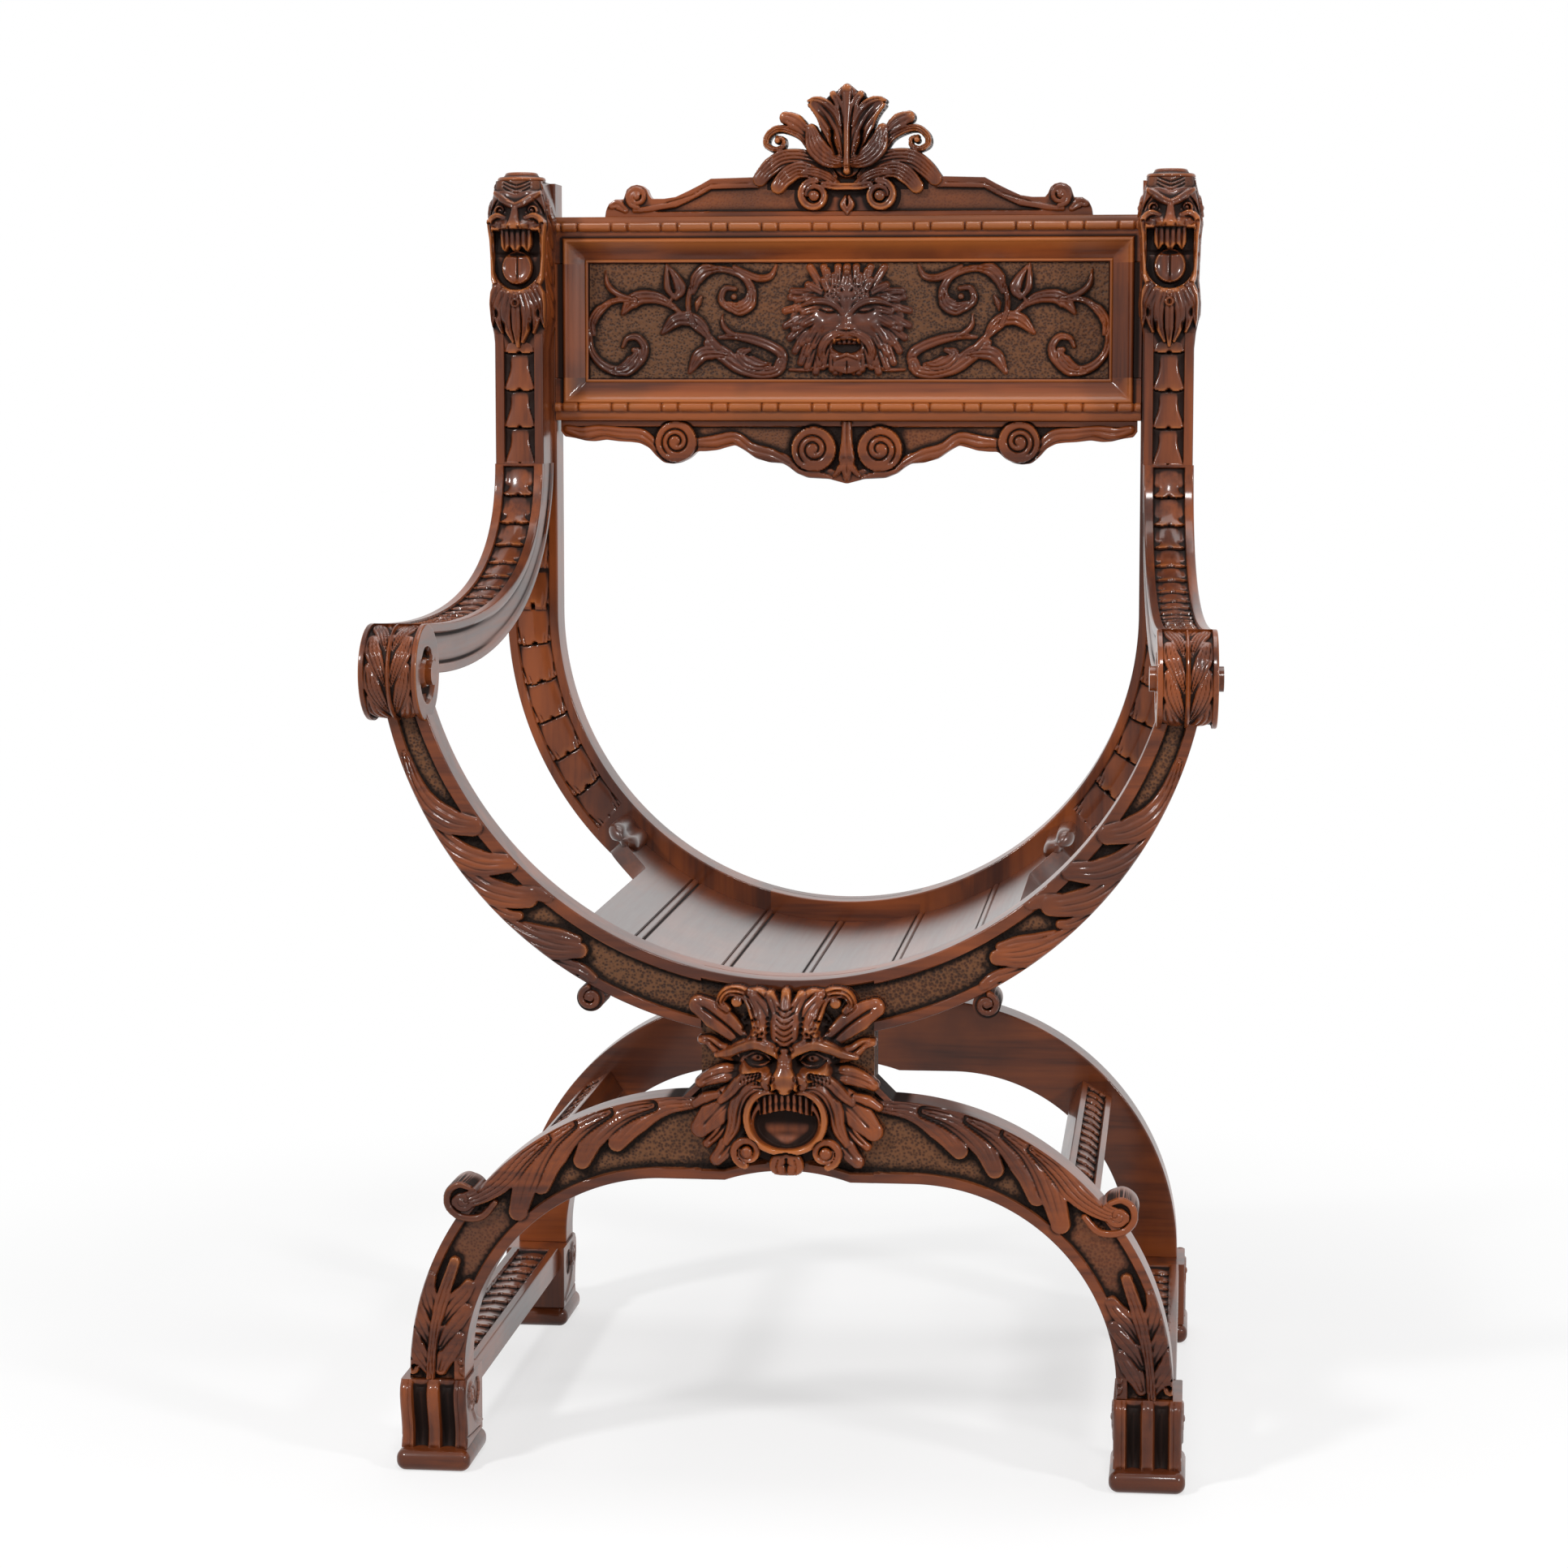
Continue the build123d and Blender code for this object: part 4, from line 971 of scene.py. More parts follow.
rails = {
    # middle in x and height, width and height, ends in depth, columns of the carved face
    "runner": {"middle": (275.0, 60.0), "size": (42.0, 22.0), "tilt": 0.0, "ends": (-181.0, 201.5),
               "columns": 38, "pitch": 26.5, "fillet": 7.5},
    "stretcher": {"middle": (217.4, 210.3), "size": (30.0, 22.0), "tilt": 31.0, "ends": (-205.0, 227.5),
                  "columns": 28, "pitch": 28.0, "fillet": 5.5},
}


def railBar(name, r):
    y = np.arange(*r["ends"], 1.2)
    c, s = math.cos(math.radians(r["tilt"])), math.sin(math.radians(r["tilt"]))
    cx, cz = r["middle"]
    w, h = r["size"][0] / 2, r["size"][1] / 2
    edges = [lineAt(cx + px * c + pz * s, y, cz - px * s + pz * c)
             for px, pz in ((-w, h), (w, h), (w, -h), (-w, -h))]
    bar = Bar(edges, (r["columns"], 8, 3, 8), 1.2)
    carveScales(bar.faces[0], (6, bar.run[-1] - 6), pitch=r["pitch"], fillet=r["fillet"], horn=7)
    return bar.build(name + "Right", 1.0)


def runnersAndStretchers():
    made = {node: railBar(node, r) for node, r in rails.items()}
    for node, piece in made.items():
        finishPair(piece, node, "deep", [node])


runnersAndStretchers()
print("feet, runners and stretchers made")


# ---- seat

seat = {
    "centre": 637.0, "top": 272.0, "under": 288.0, "front": -204.9, "back": 226.9, "board": 15.0,
    "bead": 5.0, "hornLength": 62.0, "cutAngle": 37.5, "hornAngle": 44.3,
    "hornNose": 15.0, "hornHalf": (16.5, 9.5), "hornWaist": 4.5, "slack": 0.032,
}


def seatPoint(radius, degrees):
    angle = np.radians(degrees)
    return radius * np.sin(angle), seat["centre"] - radius * np.cos(angle)


def seatBoard(start, ends, beads):
    # start and ends are the angles of the two sides from the middle, ends along the whole board
    s = seat
    y = np.linspace(s["front"], s["back"], len(ends))
    edges = []
    for radius, angle in ((s["top"], start), (s["top"], ends), (s["under"], ends), (s["under"], start)):
        px, pz = seatPoint(radius, angle)
        edges.append(lineAt(px, y, pz))
    bar = Bar(edges, (80, 5, 6, 3), 0.5)
    # the flat faces are bowed to the round of the bowl
    span = np.radians(ends - start)[:, None] / 2
    for face, radius, sign in ((bar.faces[0], s["top"], -1), (bar.faces[2], s["under"], 1)):
        q = (face["across"] - face["back"]) / (face["across"] + face["back"])
        face["relief"].height += sign * radius * (1 - np.cos(span)) * (1 - q * q)
    for side in beads:
        seatBead(bar.faces[0], side)
    return bar.build("seatBoard", 0.9, 0.1)


def seatHorn():
    # a rolled end in two lobes, leaning with the board's edge
    s = seat
    quarter = np.linspace(0.03, math.pi / 2, 10)
    nose = s["hornNose"] * (1 - np.cos(quarter))
    along = np.array([*nose, s["hornLength"] * 0.6, s["hornLength"]])[:, None]
    size = np.array([*np.sin(quarter), 1, 1])[:, None]
    turn = np.linspace(0, 2 * math.pi, 61)
    lean = math.radians(s["hornAngle"])
    wide, thick = s["hornHalf"]
    wide = size * wide * np.cos(turn)
    thick = size * np.sin(turn) * (thick - s["hornWaist"] * bell(np.cos(turn), 0.3))
    px, pz = seatPoint(s["top"] - 1.0, s["hornAngle"])
    points = lineAt(px + wide * math.cos(lean) - thick * math.sin(lean),
                    s["back"] - s["hornLength"] + along,
                    pz + wide * math.sin(lean) + thick * math.cos(lean))
    return closeUp(meshFromGrid("seatHorn", points, np.full(points.shape[:2], 0.15)), 60)


def seatBoards():
    s = seat
    for number, node in enumerate(("inner", "middle")):
        name = "seatBoard" + node.capitalize()
        start = s["board"] * number + s["slack"]
        ends = np.full(90, s["board"] * (number + 1) - s["slack"])
        right = named(seatBoard(start, ends, ["back"]), name + "Right")
        # the left board of the inner pair carries the bead of the middle joint as well
        other = seatBoard(start, ends, ["back"] if number else ["back", "across"])
        left = mirrored(other, name + "Left")
        bpy.data.objects.remove(other)
        finishPiece(right, "seat", [f"seat_board_{node}_right"])
        finishPiece(left, "seat", [f"seat_board_{node}_left"])
    # the outer board is hollowed at its side and rises to a rolled horn at the back
    y = np.linspace(s["front"], s["back"], 150)
    rise = smooth((y - s["back"] + s["hornLength"] + 22) / 34)
    ends = s["cutAngle"] + (s["hornAngle"] - s["cutAngle"]) * rise + 1.2 * smooth((s["front"] + 60 - y) / 60)
    board = seatBoard(2 * s["board"] + s["slack"], ends, [])
    finishPair(joined("seatBoardEndRight", [board, seatHorn()]), "seatBoardEnd", "seat", ["seat_board_end"])


def seatBead(face, side):
    # a raised bead between two dark quirks beside the joint
    gap, half = face[side], seat["bead"] / 2
    quirk = 2.0 * bell(gap - 2.2 - 2 * half, 1.0) + 1.7 * bell(gap - 0.6, 0.8)
    face["relief"].height += 0.9 * arched((gap - 1.2 - half) / half) - quirk


seatBoards()
print("seat boards made")


# ---- arms, hands and posts

arms = {
    "postX": 279.0, "postY": 202.0, "splay": 2.46, "run": 440.0, "width": 42.0, "handWidth": 45.0,
    "handRadius": 37.0, "handHeight": 619.0, "bottom": 768.0, "top": 1010.0, "postWidth": 42.0,
    "postFront": 177.0, "postBack": 227.0, "headBottom": 866.0,
    # depth from the post and height, from the hand to the post
    "topLine": ((-440, 656), (-215.6, 640), (-25, 665), (-25, 768)),
    "underLine": ((-421.5, 617), (-206.8, 600), (3, 640), (25, 768)),
}


def bezier(points, t):
    a, b, c, d = np.array(points, float)
    t = t[:, None]
    return (1 - t) ** 3 * a + 3 * (1 - t) ** 2 * t * b + 3 * (1 - t) * t ** 2 * c + t ** 3 * d


def placeArm(x, y, z):
    # turns the arm about its post, so that the hand lies over the front frame
    a = arms
    c, s = math.cos(math.radians(a["splay"])), math.sin(math.radians(a["splay"]))
    return lineAt(a["postX"] + x * c - y * s, np.minimum(a["postY"] + x * s + y * c, a["postBack"]), z)


def armBar():
    a = arms
    t = np.linspace(0, 1, 400)
    top, under = bezier(a["topLine"], t), bezier(a["underLine"], t)
    half = a["width"] / 2
    edges = [placeArm(x, line[:, 0], line[:, 1]) for x, line in
             ((-half, top), (half, top), (half, under), (-half, under))]
    bar = Bar(edges, (36, 17, 4, 17), 1.4)
    # the scales grow from the hand towards the post
    carveScales(bar.faces[0], (8, bar.run[-1] - 2), pitch=lambda run: 14 + 17 * smooth((run - 80) / 240),
                horn=9, waist=0.6)
    for face in (bar.faces[1], bar.faces[3]):
        inside = smooth((np.minimum(face["across"], face["back"]) - 8) / 1.0)
        face["relief"].height -= inside * 1.6
        for edge in (face["across"], face["back"]):
            face["relief"].height -= 0.9 * bell(edge - 8.6, 0.7)
    return bar.build("armRight", 1.0)


handLeaves = [
    # across and along the scroll, from the root under the hand to the tip on top
    ([(3, -62), (9, -47), (13.5, -32), (14.5, -20)], [2.5, 5, 6.5, 4.5], [1, 2, 3, 2.2], 2),
    ([(2.5, -38), (8, -22), (12.5, -7), (14, 6)], [2.5, 5.5, 6.8, 4.6], [1, 2.2, 3.4, 2.4], 3),
    ([(2.5, -8), (8, 8), (12.5, 21), (14, 32)], [2.5, 5.5, 6.8, 4.6], [1, 2.2, 3.4, 2.4], 3),
    ([(2.5, 22), (7, 37), (12, 48), (14, 57)], [2.5, 5.2, 6, 4.2], [1, 2.1, 3, 2.2], 3),
    ([(2, 48), (5, 60), (9, 70), (11, 77)], [2, 4.2, 4.6, 3.2], [1, 1.9, 2.4, 1.8], 1),
]


def handScroll():
    # rows run from the eye of one side, over the rim, to the eye of the other
    a = arms
    radius, half = a["handRadius"] - 0.05, a["handWidth"] / 2
    rim, ground = 1.2, 3.3
    sideRows = [(r, -half, -1) for r in [0.01, *np.linspace(1.5, radius - 1.3, 36)]]
    for angle in np.radians([22, 45, 68]):
        sideRows.append((radius - rim + rim * math.sin(angle), -half + rim - rim * math.cos(angle), 0))
    bandRows = [(radius, x, 1) for x in np.linspace(-half + rim, half - rim, 52)]
    otherRows = [(r, -x, kind) for r, x, kind in reversed(sideRows)]
    # distance from the eye, place across, and kind: -1 for a side, 0 for the rim, 1 for the band
    rowR, rowX, kind = np.array(sideRows + bandRows + otherRows).T[:, :, None]
    turn = np.linspace(0, 2 * math.pi, 241)[None, :]
    # angle 0 looks forward, 90 degrees up; the leaf's root lies under the hand
    arcLength = (np.mod(turn + math.pi * 0.75, 2 * math.pi) - math.pi * 0.75) * radius
    leaf = Relief(np.abs(rowX), arcLength, -ground)
    for path, widths, heights, flutes in handLeaves:
        leaf.stroke(path, widths, [height - ground for height in heights], flutes, 1.1, 0.9, 1.3)
    leaf.stroke([(0, -75), (0, -30), (0, 30), (0, 80)], [2, 1.8, 1.6, 1.2], [-0.4, 0, 0, -0.4], crown=0.9)
    fillet = smooth((np.abs(rowX) - half + 4.6) / 0.8)
    length = smooth((arcLength + 70) / 6) * smooth((78 - arcLength) / 6)
    bandHeight = np.minimum(leaf.height, 0.1) * (1 - fillet) * length
    # a wall winds inwards round a well on each side
    around = np.mod(turn - math.radians(150), 2 * math.pi) / (2 * math.pi)
    well = smooth((26 - 7 * around - rowR) / 2.2) * smooth((rowR - 10.5) / 2.0)
    sideHeight = -6.0 * well * smooth(around * 7) * smooth((1 - around) * 14)
    height = bandHeight * (kind == 1) + sideHeight * (kind == -1)
    r = rowR + np.where(kind == 1, height, 0)
    x = rowX + np.where(kind == -1, height, 0) * np.sign(rowX)
    points = placeArm(x, -a["run"] - r * np.cos(turn), a["handHeight"] + r * np.sin(turn))
    # the tone: dust and painted shade in hollows, wear and painted highlight on proud places, and a lighter
    # rim of wear and painted highlight
    return closeUp(meshFromGrid("handRight", points, wearAndShadeTone(height, 0.85) + 0.5 * (kind == 0)))


def postShaft():
    a = arms
    cell = 0.9
    z = np.arange(a["bottom"], a["headBottom"] + 14.1, cell)
    x, half = a["postX"], a["postWidth"] / 2
    bar = uprightBar(x - half, x + half, a["postFront"], a["postBack"], z, (40, 4, 3, 4), 1.3)
    carveScales(bar.faces[0], (0, bar.run[-1] + 4), horn=22, waist=0.6)
    return bar.build("postShaft", cell)


beast = {
    "cell": 0.75,
    # height and half width, then height and forward reach
    "breadth": ([866, 880, 890, 905, 925, 940, 960, 972, 980, 990, 1000, 1010],
                [21, 22.4, 24.6, 25.2, 23.4, 24, 24.8, 26.4, 25.2, 23.8, 21.5, 19.5]),
    "reach": ([866, 872, 880, 890, 905, 915, 925, 935, 950, 960, 966, 972, 979, 986, 993, 1001, 1010],
              [0.5, 1.5, 3.5, 7, 11.5, 14.5, 16, 14, 15, 18, 20, 22, 19, 16, 14, 12, 9]),
    "hat": 1000,
    # side locks that flick outwards, then the strands that hang to a point: path, half widths, heights
    "beard": (
        ([(17, 918), (21.5, 907), (21.5, 896), (23.5, 885)], [5, 5.2, 4, 1.6], [14, 13, 10.5, 7]),
        ([(11, 914), (15.5, 903), (16, 892), (13.5, 881)], [4.8, 5, 4, 1.8], [17.5, 16, 13, 9]),
        ([(5, 913), (8.5, 900), (8, 886), (4, 873)], [4.8, 5, 4.2, 1.8], [19.5, 18.5, 15.5, 10]),
        ([(0, 912), (0, 897), (0, 882), (0, 869)], [3.2, 4.4, 4, 1.8], [20, 19.5, 16.5, 10]),
    ),
}


def beastHead():
    # an open-mouthed beast; the face is shaped by its forward reach over the post
    a, b = arms, beast
    z = np.arange(a["headBottom"], a["top"] + 0.1, b["cell"])
    half = blurred(np.interp(z, *b["breadth"])[:, None], 2)[:, 0]
    x = a["postX"]
    bar = uprightBar(x - half, x + half, a["postFront"] + 3, a["postBack"] - 1, z, (76, 24, 3, 24), 1.2)
    face = bar.faces[0]
    face["normal"][:] = (0, -1, 0)
    relief = evenRelief(face, x)
    fx, fz = relief.x, relief.z
    relief.height = np.interp(fz, *b["reach"]) * (1 - np.clip(fx / half[:, None], 0, 1) ** 2.8) ** 0.62
    # stippled band below the hat, darkened with painted shade under the hat, then brows that meet in a deep V
    relief.stipple = 0.3 * smooth((fz - b["hat"]) / 1.5)
    relief.shade -= 0.12 * smooth((fz - b["hat"]) / 1.5)
    relief.height -= 1.2 * smooth((fz - b["hat"]) / 2)
    relief.stroke([(0, 988), (7, 991), (14, 996), (20, 1000)], [3.2, 3.6, 3.4, 2], [20.5, 19.5, 15, 8],
                  1, 0.8, 1, 1.6)
    for k in range(3):
        relief.groove([(0, 999 + 3.4 * k), (6, 1001 + 3.4 * k), (12, 1004.5 + 3.0 * k)], 0.9, 1.4)
    relief.mound(13.5, 985, 6.6, 5.6, -6.5)
    relief.stroke(spiral(13.8, 984.5, 5.2, 1.8, 1.3, 200, 1), 1.3, [15, 14, 13], crown=0.6)
    relief.knob(13.8, 984.5, 2.2, 12.5, 1.6)
    # snout with a wide nose, flared nostrils and rolled cheeks
    relief.stroke([(0, 986), (0, 978), (0, 970)], [3, 4.2, 6.5], [21, 25, 27], crown=2.6)
    relief.mound(0, 973, 7.5, 5, 2.2)
    relief.mound(7, 971, 3.6, 3.2, 3.6)
    relief.mound(4.4, 969.4, 1.5, 1.5, -5)
    relief.stroke([(9, 978), (16, 980), (22, 976), (22.5, 970), (17, 967.5), (13.5, 971), (16, 974)],
                  [2, 2.6, 2.8, 2.8, 2.6, 2.2, 1.6], [20, 20, 18, 18, 19, 19.5, 19], 1, 0.7, 0.9, 1.2)
    for k in range(3):
        relief.groove([(15 + 2 * k, 995 - 2.5 * k), (20 + k, 989 - 2.5 * k), (23.5, 981 - 2 * k)], 0.8, 1.5)
    # hanging upper lip in folds, framed by the mouth's rim
    relief.stroke([(23, 972), (23.5, 955), (22.5, 940), (21, 928), (15, 918), (0, 914)],
                  [2.4, 2.4, 2.3, 2.3, 2.6, 2.8], [14, 12, 11, 12.5, 16.5, 19], 0, 0.8, 0.9, 1.4)
    opening = (np.hypot(fx / 20.5, (fz - 939) / 22) < 1.0) | (fz > 940)
    relief.blend(smooth((20.3 - fx) / 1.0) * smooth((968 - fz) / 2) * opening, 4.0)
    lipFoot = 950 + 0.016 * fx ** 2 - 2.6 * np.cos(fx * math.pi / 5)
    lip = smooth((fz - lipFoot) / 1.2) * smooth((969 - fz) / 1.5) * smooth((14.2 - fx) / 1.3)
    folds = 2.4 * bell(np.mod(fx + 2.4, 4.8) - 2.4, 0.9)
    relief.blend(lip, 19.5 - 0.028 * fx ** 2 - 0.12 * (964 - fz) - folds)
    ring = np.hypot(fx / 14.0, (fz - 936) / 15.5)
    relief.blend(smooth((1 - ring) * 7), 9.0 + 5.2 * ring ** 4 - 0.05 * (fz - 920))
    relief.groove([(0, 946), (0, 924)], 0.9, 1.6)
    relief.mound(0, 947, 15, 1.6, -4)
    for path, widths, heights in b["beard"]:
        relief.stroke(path, widths, heights, 1, 1.3, 1, 2.2)
    relief.stroke(spiral(0, 906, 3.4, 2.8, 1, 90, 1), 1.3, 21.5, crown=0.5)
    for px, pz in ((18.3, 897), (11.5, 886)):
        relief.mound(px, pz, 1.5, 4.5, -6)
    relief.height = np.clip(relief.height, 0.0, 29.0) * smooth((half[:, None] - fx) / 1.4)
    for face in (bar.faces[1], bar.faces[3]):
        relief = sideRelief(face)
        for k in range(7):
            lowEnd = 892 + 15 * k
            relief.stroke([(181, lowEnd + 24), (190, lowEnd + 16), (203, lowEnd + 6), (220, lowEnd)],
                          [1.6, 3.6, 3.8, 1.6], [1, 1.5, 1.6, 0.6], 1, 0.7, 1, 1)
        relief.stroke(spiral(191, 985, 8.5, 2.5, 1.5, 90, 1), 2.3, 2.6, crown=0.8)
        relief.knob(191, 985, 2.6, 2.6, 1)
    return bar.build("beastHead", b["cell"])


cap = {
    "middle": 197.0,
    # radius and height up the turned outline, then height and tone: painted shade in the creases and painted
    # highlight on the rolls
    "outline": [(0.01, 1009), (19.5, 1009), (20.3, 1010), (20.8, 1011.4), (20.3, 1012.8), (19, 1013.8),
                (16.5, 1014), (15.4, 1014.4), (14.6, 1015.4), (13.6, 1017.2), (11, 1018), (6, 1018),
                (4.5, 1017.6), (0.01, 1017.5)],
    "tone": ([1009, 1011, 1012.5, 1014.1, 1015, 1017.6, 1018], [-0.5, 0.3, 0.7, -0.5, -0.3, 0.6, 0.3]),
}


def hatCap():
    # a round cap turned like a brimmed hat, over the head
    radius, height = curve(cap["outline"], 3).T[:, :, None]
    turn = np.linspace(0, 2 * math.pi, 65)
    points = lineAt(arms["postX"] + radius * np.cos(turn), cap["middle"] + radius * np.sin(turn), height)
    tone = np.interp(height, *cap["tone"]) + 0 * turn
    return closeUp(meshFromGrid("postCapRight", points, tone), 60)


def armsAndPosts():
    arm = joined("armRight", [armBar(), handScroll()])
    post = joined("postRight", [postShaft(), beastHead()])
    hat = hatCap()
    finishPair(arm, "arm", "deep", ["arm"])
    finishPair(post, "post", "upright", ["arm_post", "post_boss"])
    finishPair(hat, "postCap", "across", ["post_cap"])


armsAndPosts()
print("arms and posts carved")


# ---- back

back = {
    "halfWidth": 255.0, "panelHalf": 226.0, "panelBottom": 842.0, "panelTop": 940.5, "railTop": 981.0,
    "railBottom": 805.0, "railFace": 223.0, "railBack": 251.0, "panelFace": 235.0,
    # distance out of the panel opening, and depth behind the rail's face
    "profile": ([0, 0.6, 0.8, 1.6, 2.4, 3.2, 4.0, 4.4, 8, 12, 16, 17.8, 18.4, 19.2, 20.2, 21.2, 22.0, 22.4],
                [12, 12, 9, 8, 7.8, 8.1, 9, 8.8, 6.9, 4.4, 1.5, 0.2, -0.6, -1.2, -1.4, -1.1, -0.3, 0.9]),
    # distance out of the opening and tone, with painted shade in the quirks and painted highlight on the lip
    # and the ridge, then the grid's lines beside the opening
    "profileTone": ([0, 0.8, 1.8, 3.4, 4.6, 17.5, 18.6, 20.2, 22.0, 22.6, 25],
                    [-0.9, -0.5, 0.7, 0.7, 0.1, 0.6, 0.62, 0.9, 0.4, -0.7, 0.45]),
    "steps": [0, 0.7, 1.0, 1.6, 2.4, 3.2, 4, 4.4, 6, 8, 10, 12, 14, 16, 17.6, 18.4, 19.2, 20, 20.8, 21.6,
              22.2, 22.6],
    "crestFace": 233.0, "crestBack": 251.0, "crestHalf": 212.0, "apronHalf": 252.0,
    "leafBreadth": 1.2, "panelCell": 0.83, "crestCell": 0.72,
}


def railPiece(name, low, high, x0, x1, grain, node):
    # a flat member whose edge beside the panel is moulded and mitred
    b = back
    columns = {x0, x1, *np.linspace(-b["panelHalf"], b["panelHalf"], 40)}
    levels = {low, high, low + 0.5, high - 0.5, low + 1.2, high - 1.2, *np.linspace(low, high, 8)}
    for step in b["steps"]:
        columns |= {b["panelHalf"] + step, -b["panelHalf"] - step}
        levels |= {b["panelTop"] + step, b["panelBottom"] - step}
    gridX, gridZ = np.meshgrid(sorted(v for v in columns if x0 <= v <= x1),
                               sorted(v for v in levels if low <= v <= high))
    out = np.maximum(np.maximum(np.abs(gridX) - b["panelHalf"], gridZ - b["panelTop"]),
                     b["panelBottom"] - gridZ)
    y = b["railFace"] + np.interp(out, *b["profile"])
    tone = np.interp(out, *b["profileTone"])
    # the stiles' mouldings take painted shade
    if grain == "upright":
        tone = tone - 0.4 * smooth((out - 5) / 2)
    else:
        y = y + 0.8 * (1 - smooth(np.minimum(gridZ - low, high - gridZ) / 1.2)) * (out > 22)
    piece = meshFromGrid(name, np.stack([gridX, y, gridZ], axis=2), tone)
    bpy.ops.object.mode_set(mode="EDIT")
    bpy.ops.mesh.select_all(action="SELECT")
    bpy.ops.mesh.extrude_region_move(TRANSFORM_OT_translate={"value": (0, 0.02, 0)})
    flattenChosen(piece, b["railBack"])
    finishPiece(closeUp(piece, 38), grain, [node])


def backFrame():
    b = back
    half, opening = b["halfWidth"], b["panelHalf"]
    railPiece("backTopRail", b["panelTop"], b["railTop"], -half, half, "across", "back_top_rail")
    railPiece("backBottomRail", b["railBottom"], b["panelBottom"], -half, half, "across", "back_bottom_rail")
    for side, x0, x1 in (("Right", opening, half), ("Left", -half, -opening)):
        railPiece("backStile" + side, b["panelBottom"], b["panelTop"], x0, x1, "upright",
                  "back_stile_" + side.lower())


backFrame()

panelStems = [
    # looped sheath, main stem, outer scroll and tendrils
    ([(58, 851), (57, 862), (66, 869), (82, 875), (98, 878), (112, 877)],
     [4.5, 4.8, 4.5, 4.3, 3.4, 1.9], [3.5, 3.9, 3.9, 3.9, 3.5, 2.1], 1),
    ([(58, 855), (62, 848), (76, 846), (92, 851), (108, 862), (122, 872)],
     [4.3, 4.5, 4.8, 6, 5.7, 3.5], [3.5, 3.7, 3.9, 4.1, 3.9, 3.3], 2),
    ([(68, 853), (78, 853), (88, 857), (93, 863), (86, 866)],
     [2.1, 4.5, 5.7, 4.3, 1.9], [2.9, 3.7, 4.3, 3.9, 2.5], 2),
    ([(104, 862), (118, 864), (129, 861), (138, 847)],
     [2.1, 5.4, 5.4, 1.9], [3.3, 4.1, 4.1, 1.9], 2),
    ([(112, 868), (122, 878), (133, 886), (145, 897), (155, 905), (168, 909), (182, 909)],
     [3.4, 2.9, 2.6, 2.5, 2.6, 2.9, 3.1], [3.5, 3.5, 3.5, 3.7, 3.9, 4.1, 4.1], 0),
    ([(120, 876), (128, 888), (138, 893), (150, 892), (162, 881)],
     [1.7, 4, 5.4, 5.1, 1.9], [3.1, 4.1, 4.7, 4.7, 2.3], 2),
    ([(152, 904), (165, 911), (180, 912), (190, 907), (197, 898)],
     [2, 4, 5.1, 5.7, 1.9], [3.5, 4.1, 4.7, 4.9, 2.5], 2),
    ([(186, 909), (199, 910), (211, 906), (221, 896), (226, 881), (225, 866), (216, 854), (203, 848),
      (190, 850), (180, 859), (178, 869), (184, 877), (193, 876), (197, 869)],
     [3.1, 2.8, 2.8, 2.8, 2.8, 3.1, 3.4, 4, 4.5, 4.3, 4, 3.7, 3.1, 1.9],
     [3.7, 3.7, 3.7, 3.7, 3.7, 3.7, 3.9, 4.1, 4.3, 4.1, 3.9, 3.9, 3.7, 3.1], 1),
    ([(206, 848), (194, 850), (186, 858), (184, 866)],
     [1.7, 5.7, 6.2, 2.3], [3.5, 4.7, 5.1, 3.9], 3),
    ([(208, 907), (218, 900), (224, 890), (223, 880)],
     [1.5, 3.6, 3.6, 1.9], [3.3, 4.5, 4.5, 2.5], 2),
    ([(190, 911), (202, 915), (210, 923), (212, 935)],
     [1.8, 2.9, 2.6, 0.9], [3.5, 3.7, 3.5, 1.9], 0),
    ([(157, 905), (154, 910), (152, 914)],
     [1.6, 1.8, 1.6], [3.3, 3.3, 3.3], 0),
    ([(156, 938), (149, 927), (146, 918), (150, 912)],
     [1.5, 3.7, 5.7, 3.1], [2.3, 3.5, 4.5, 3.9], 1),
    ([(158, 940), (158, 928), (157, 919), (152, 912)],
     [1.5, 2.6, 3.4, 2.3], [2.3, 3.5, 4.3, 3.9], 0),
    ([(134, 888), (139, 901), (138, 916), (130, 929), (116, 936), (100, 934), (88, 927), (83, 914),
      (89, 904), (101, 902), (110, 909), (107, 919), (98, 919)],
     [2.6, 2.6, 2.6, 2.8, 3.1, 3.1, 3.1, 3.7, 4.3, 4, 3.4, 3.1, 2.3],
     [3.3, 3.3, 3.4, 3.5, 3.7, 3.7, 3.7, 3.9, 4.3, 4.1, 3.9, 3.7, 3.3], 1),
    ([(112, 936), (124, 935), (132, 927), (135, 916)],
     [2, 5.1, 4.8, 1.9], [3.5, 4.7, 4.5, 2.5], 2),
    ([(84, 918), (86, 907), (95, 902), (104, 906)],
     [2, 5.4, 5.7, 2.3], [3.5, 4.7, 4.9, 3.5], 3),
    ([(62, 939), (67, 930), (77, 928), (88, 932), (99, 938)],
     [1.5, 3.1, 3.6, 3.1, 1.9], [2.3, 3.7, 4.1, 3.7, 2.5], 1),
    ([(95, 878), (104, 882), (109, 889), (109, 897)],
     [1.5, 2.9, 2.3, 0.8], [2.7, 3.5, 3.3, 1.9], 0),
    ([(128, 912), (131, 906), (132, 900)],
     [1.8, 3.1, 1], [2.7, 3.7, 2.3], 0),
    ([(0, 858), (16, 853), (34, 849), (50, 849)],
     [2, 2.1, 2.1, 1.6], [3.3, 3.3, 3.1, 2.5], 0),
]


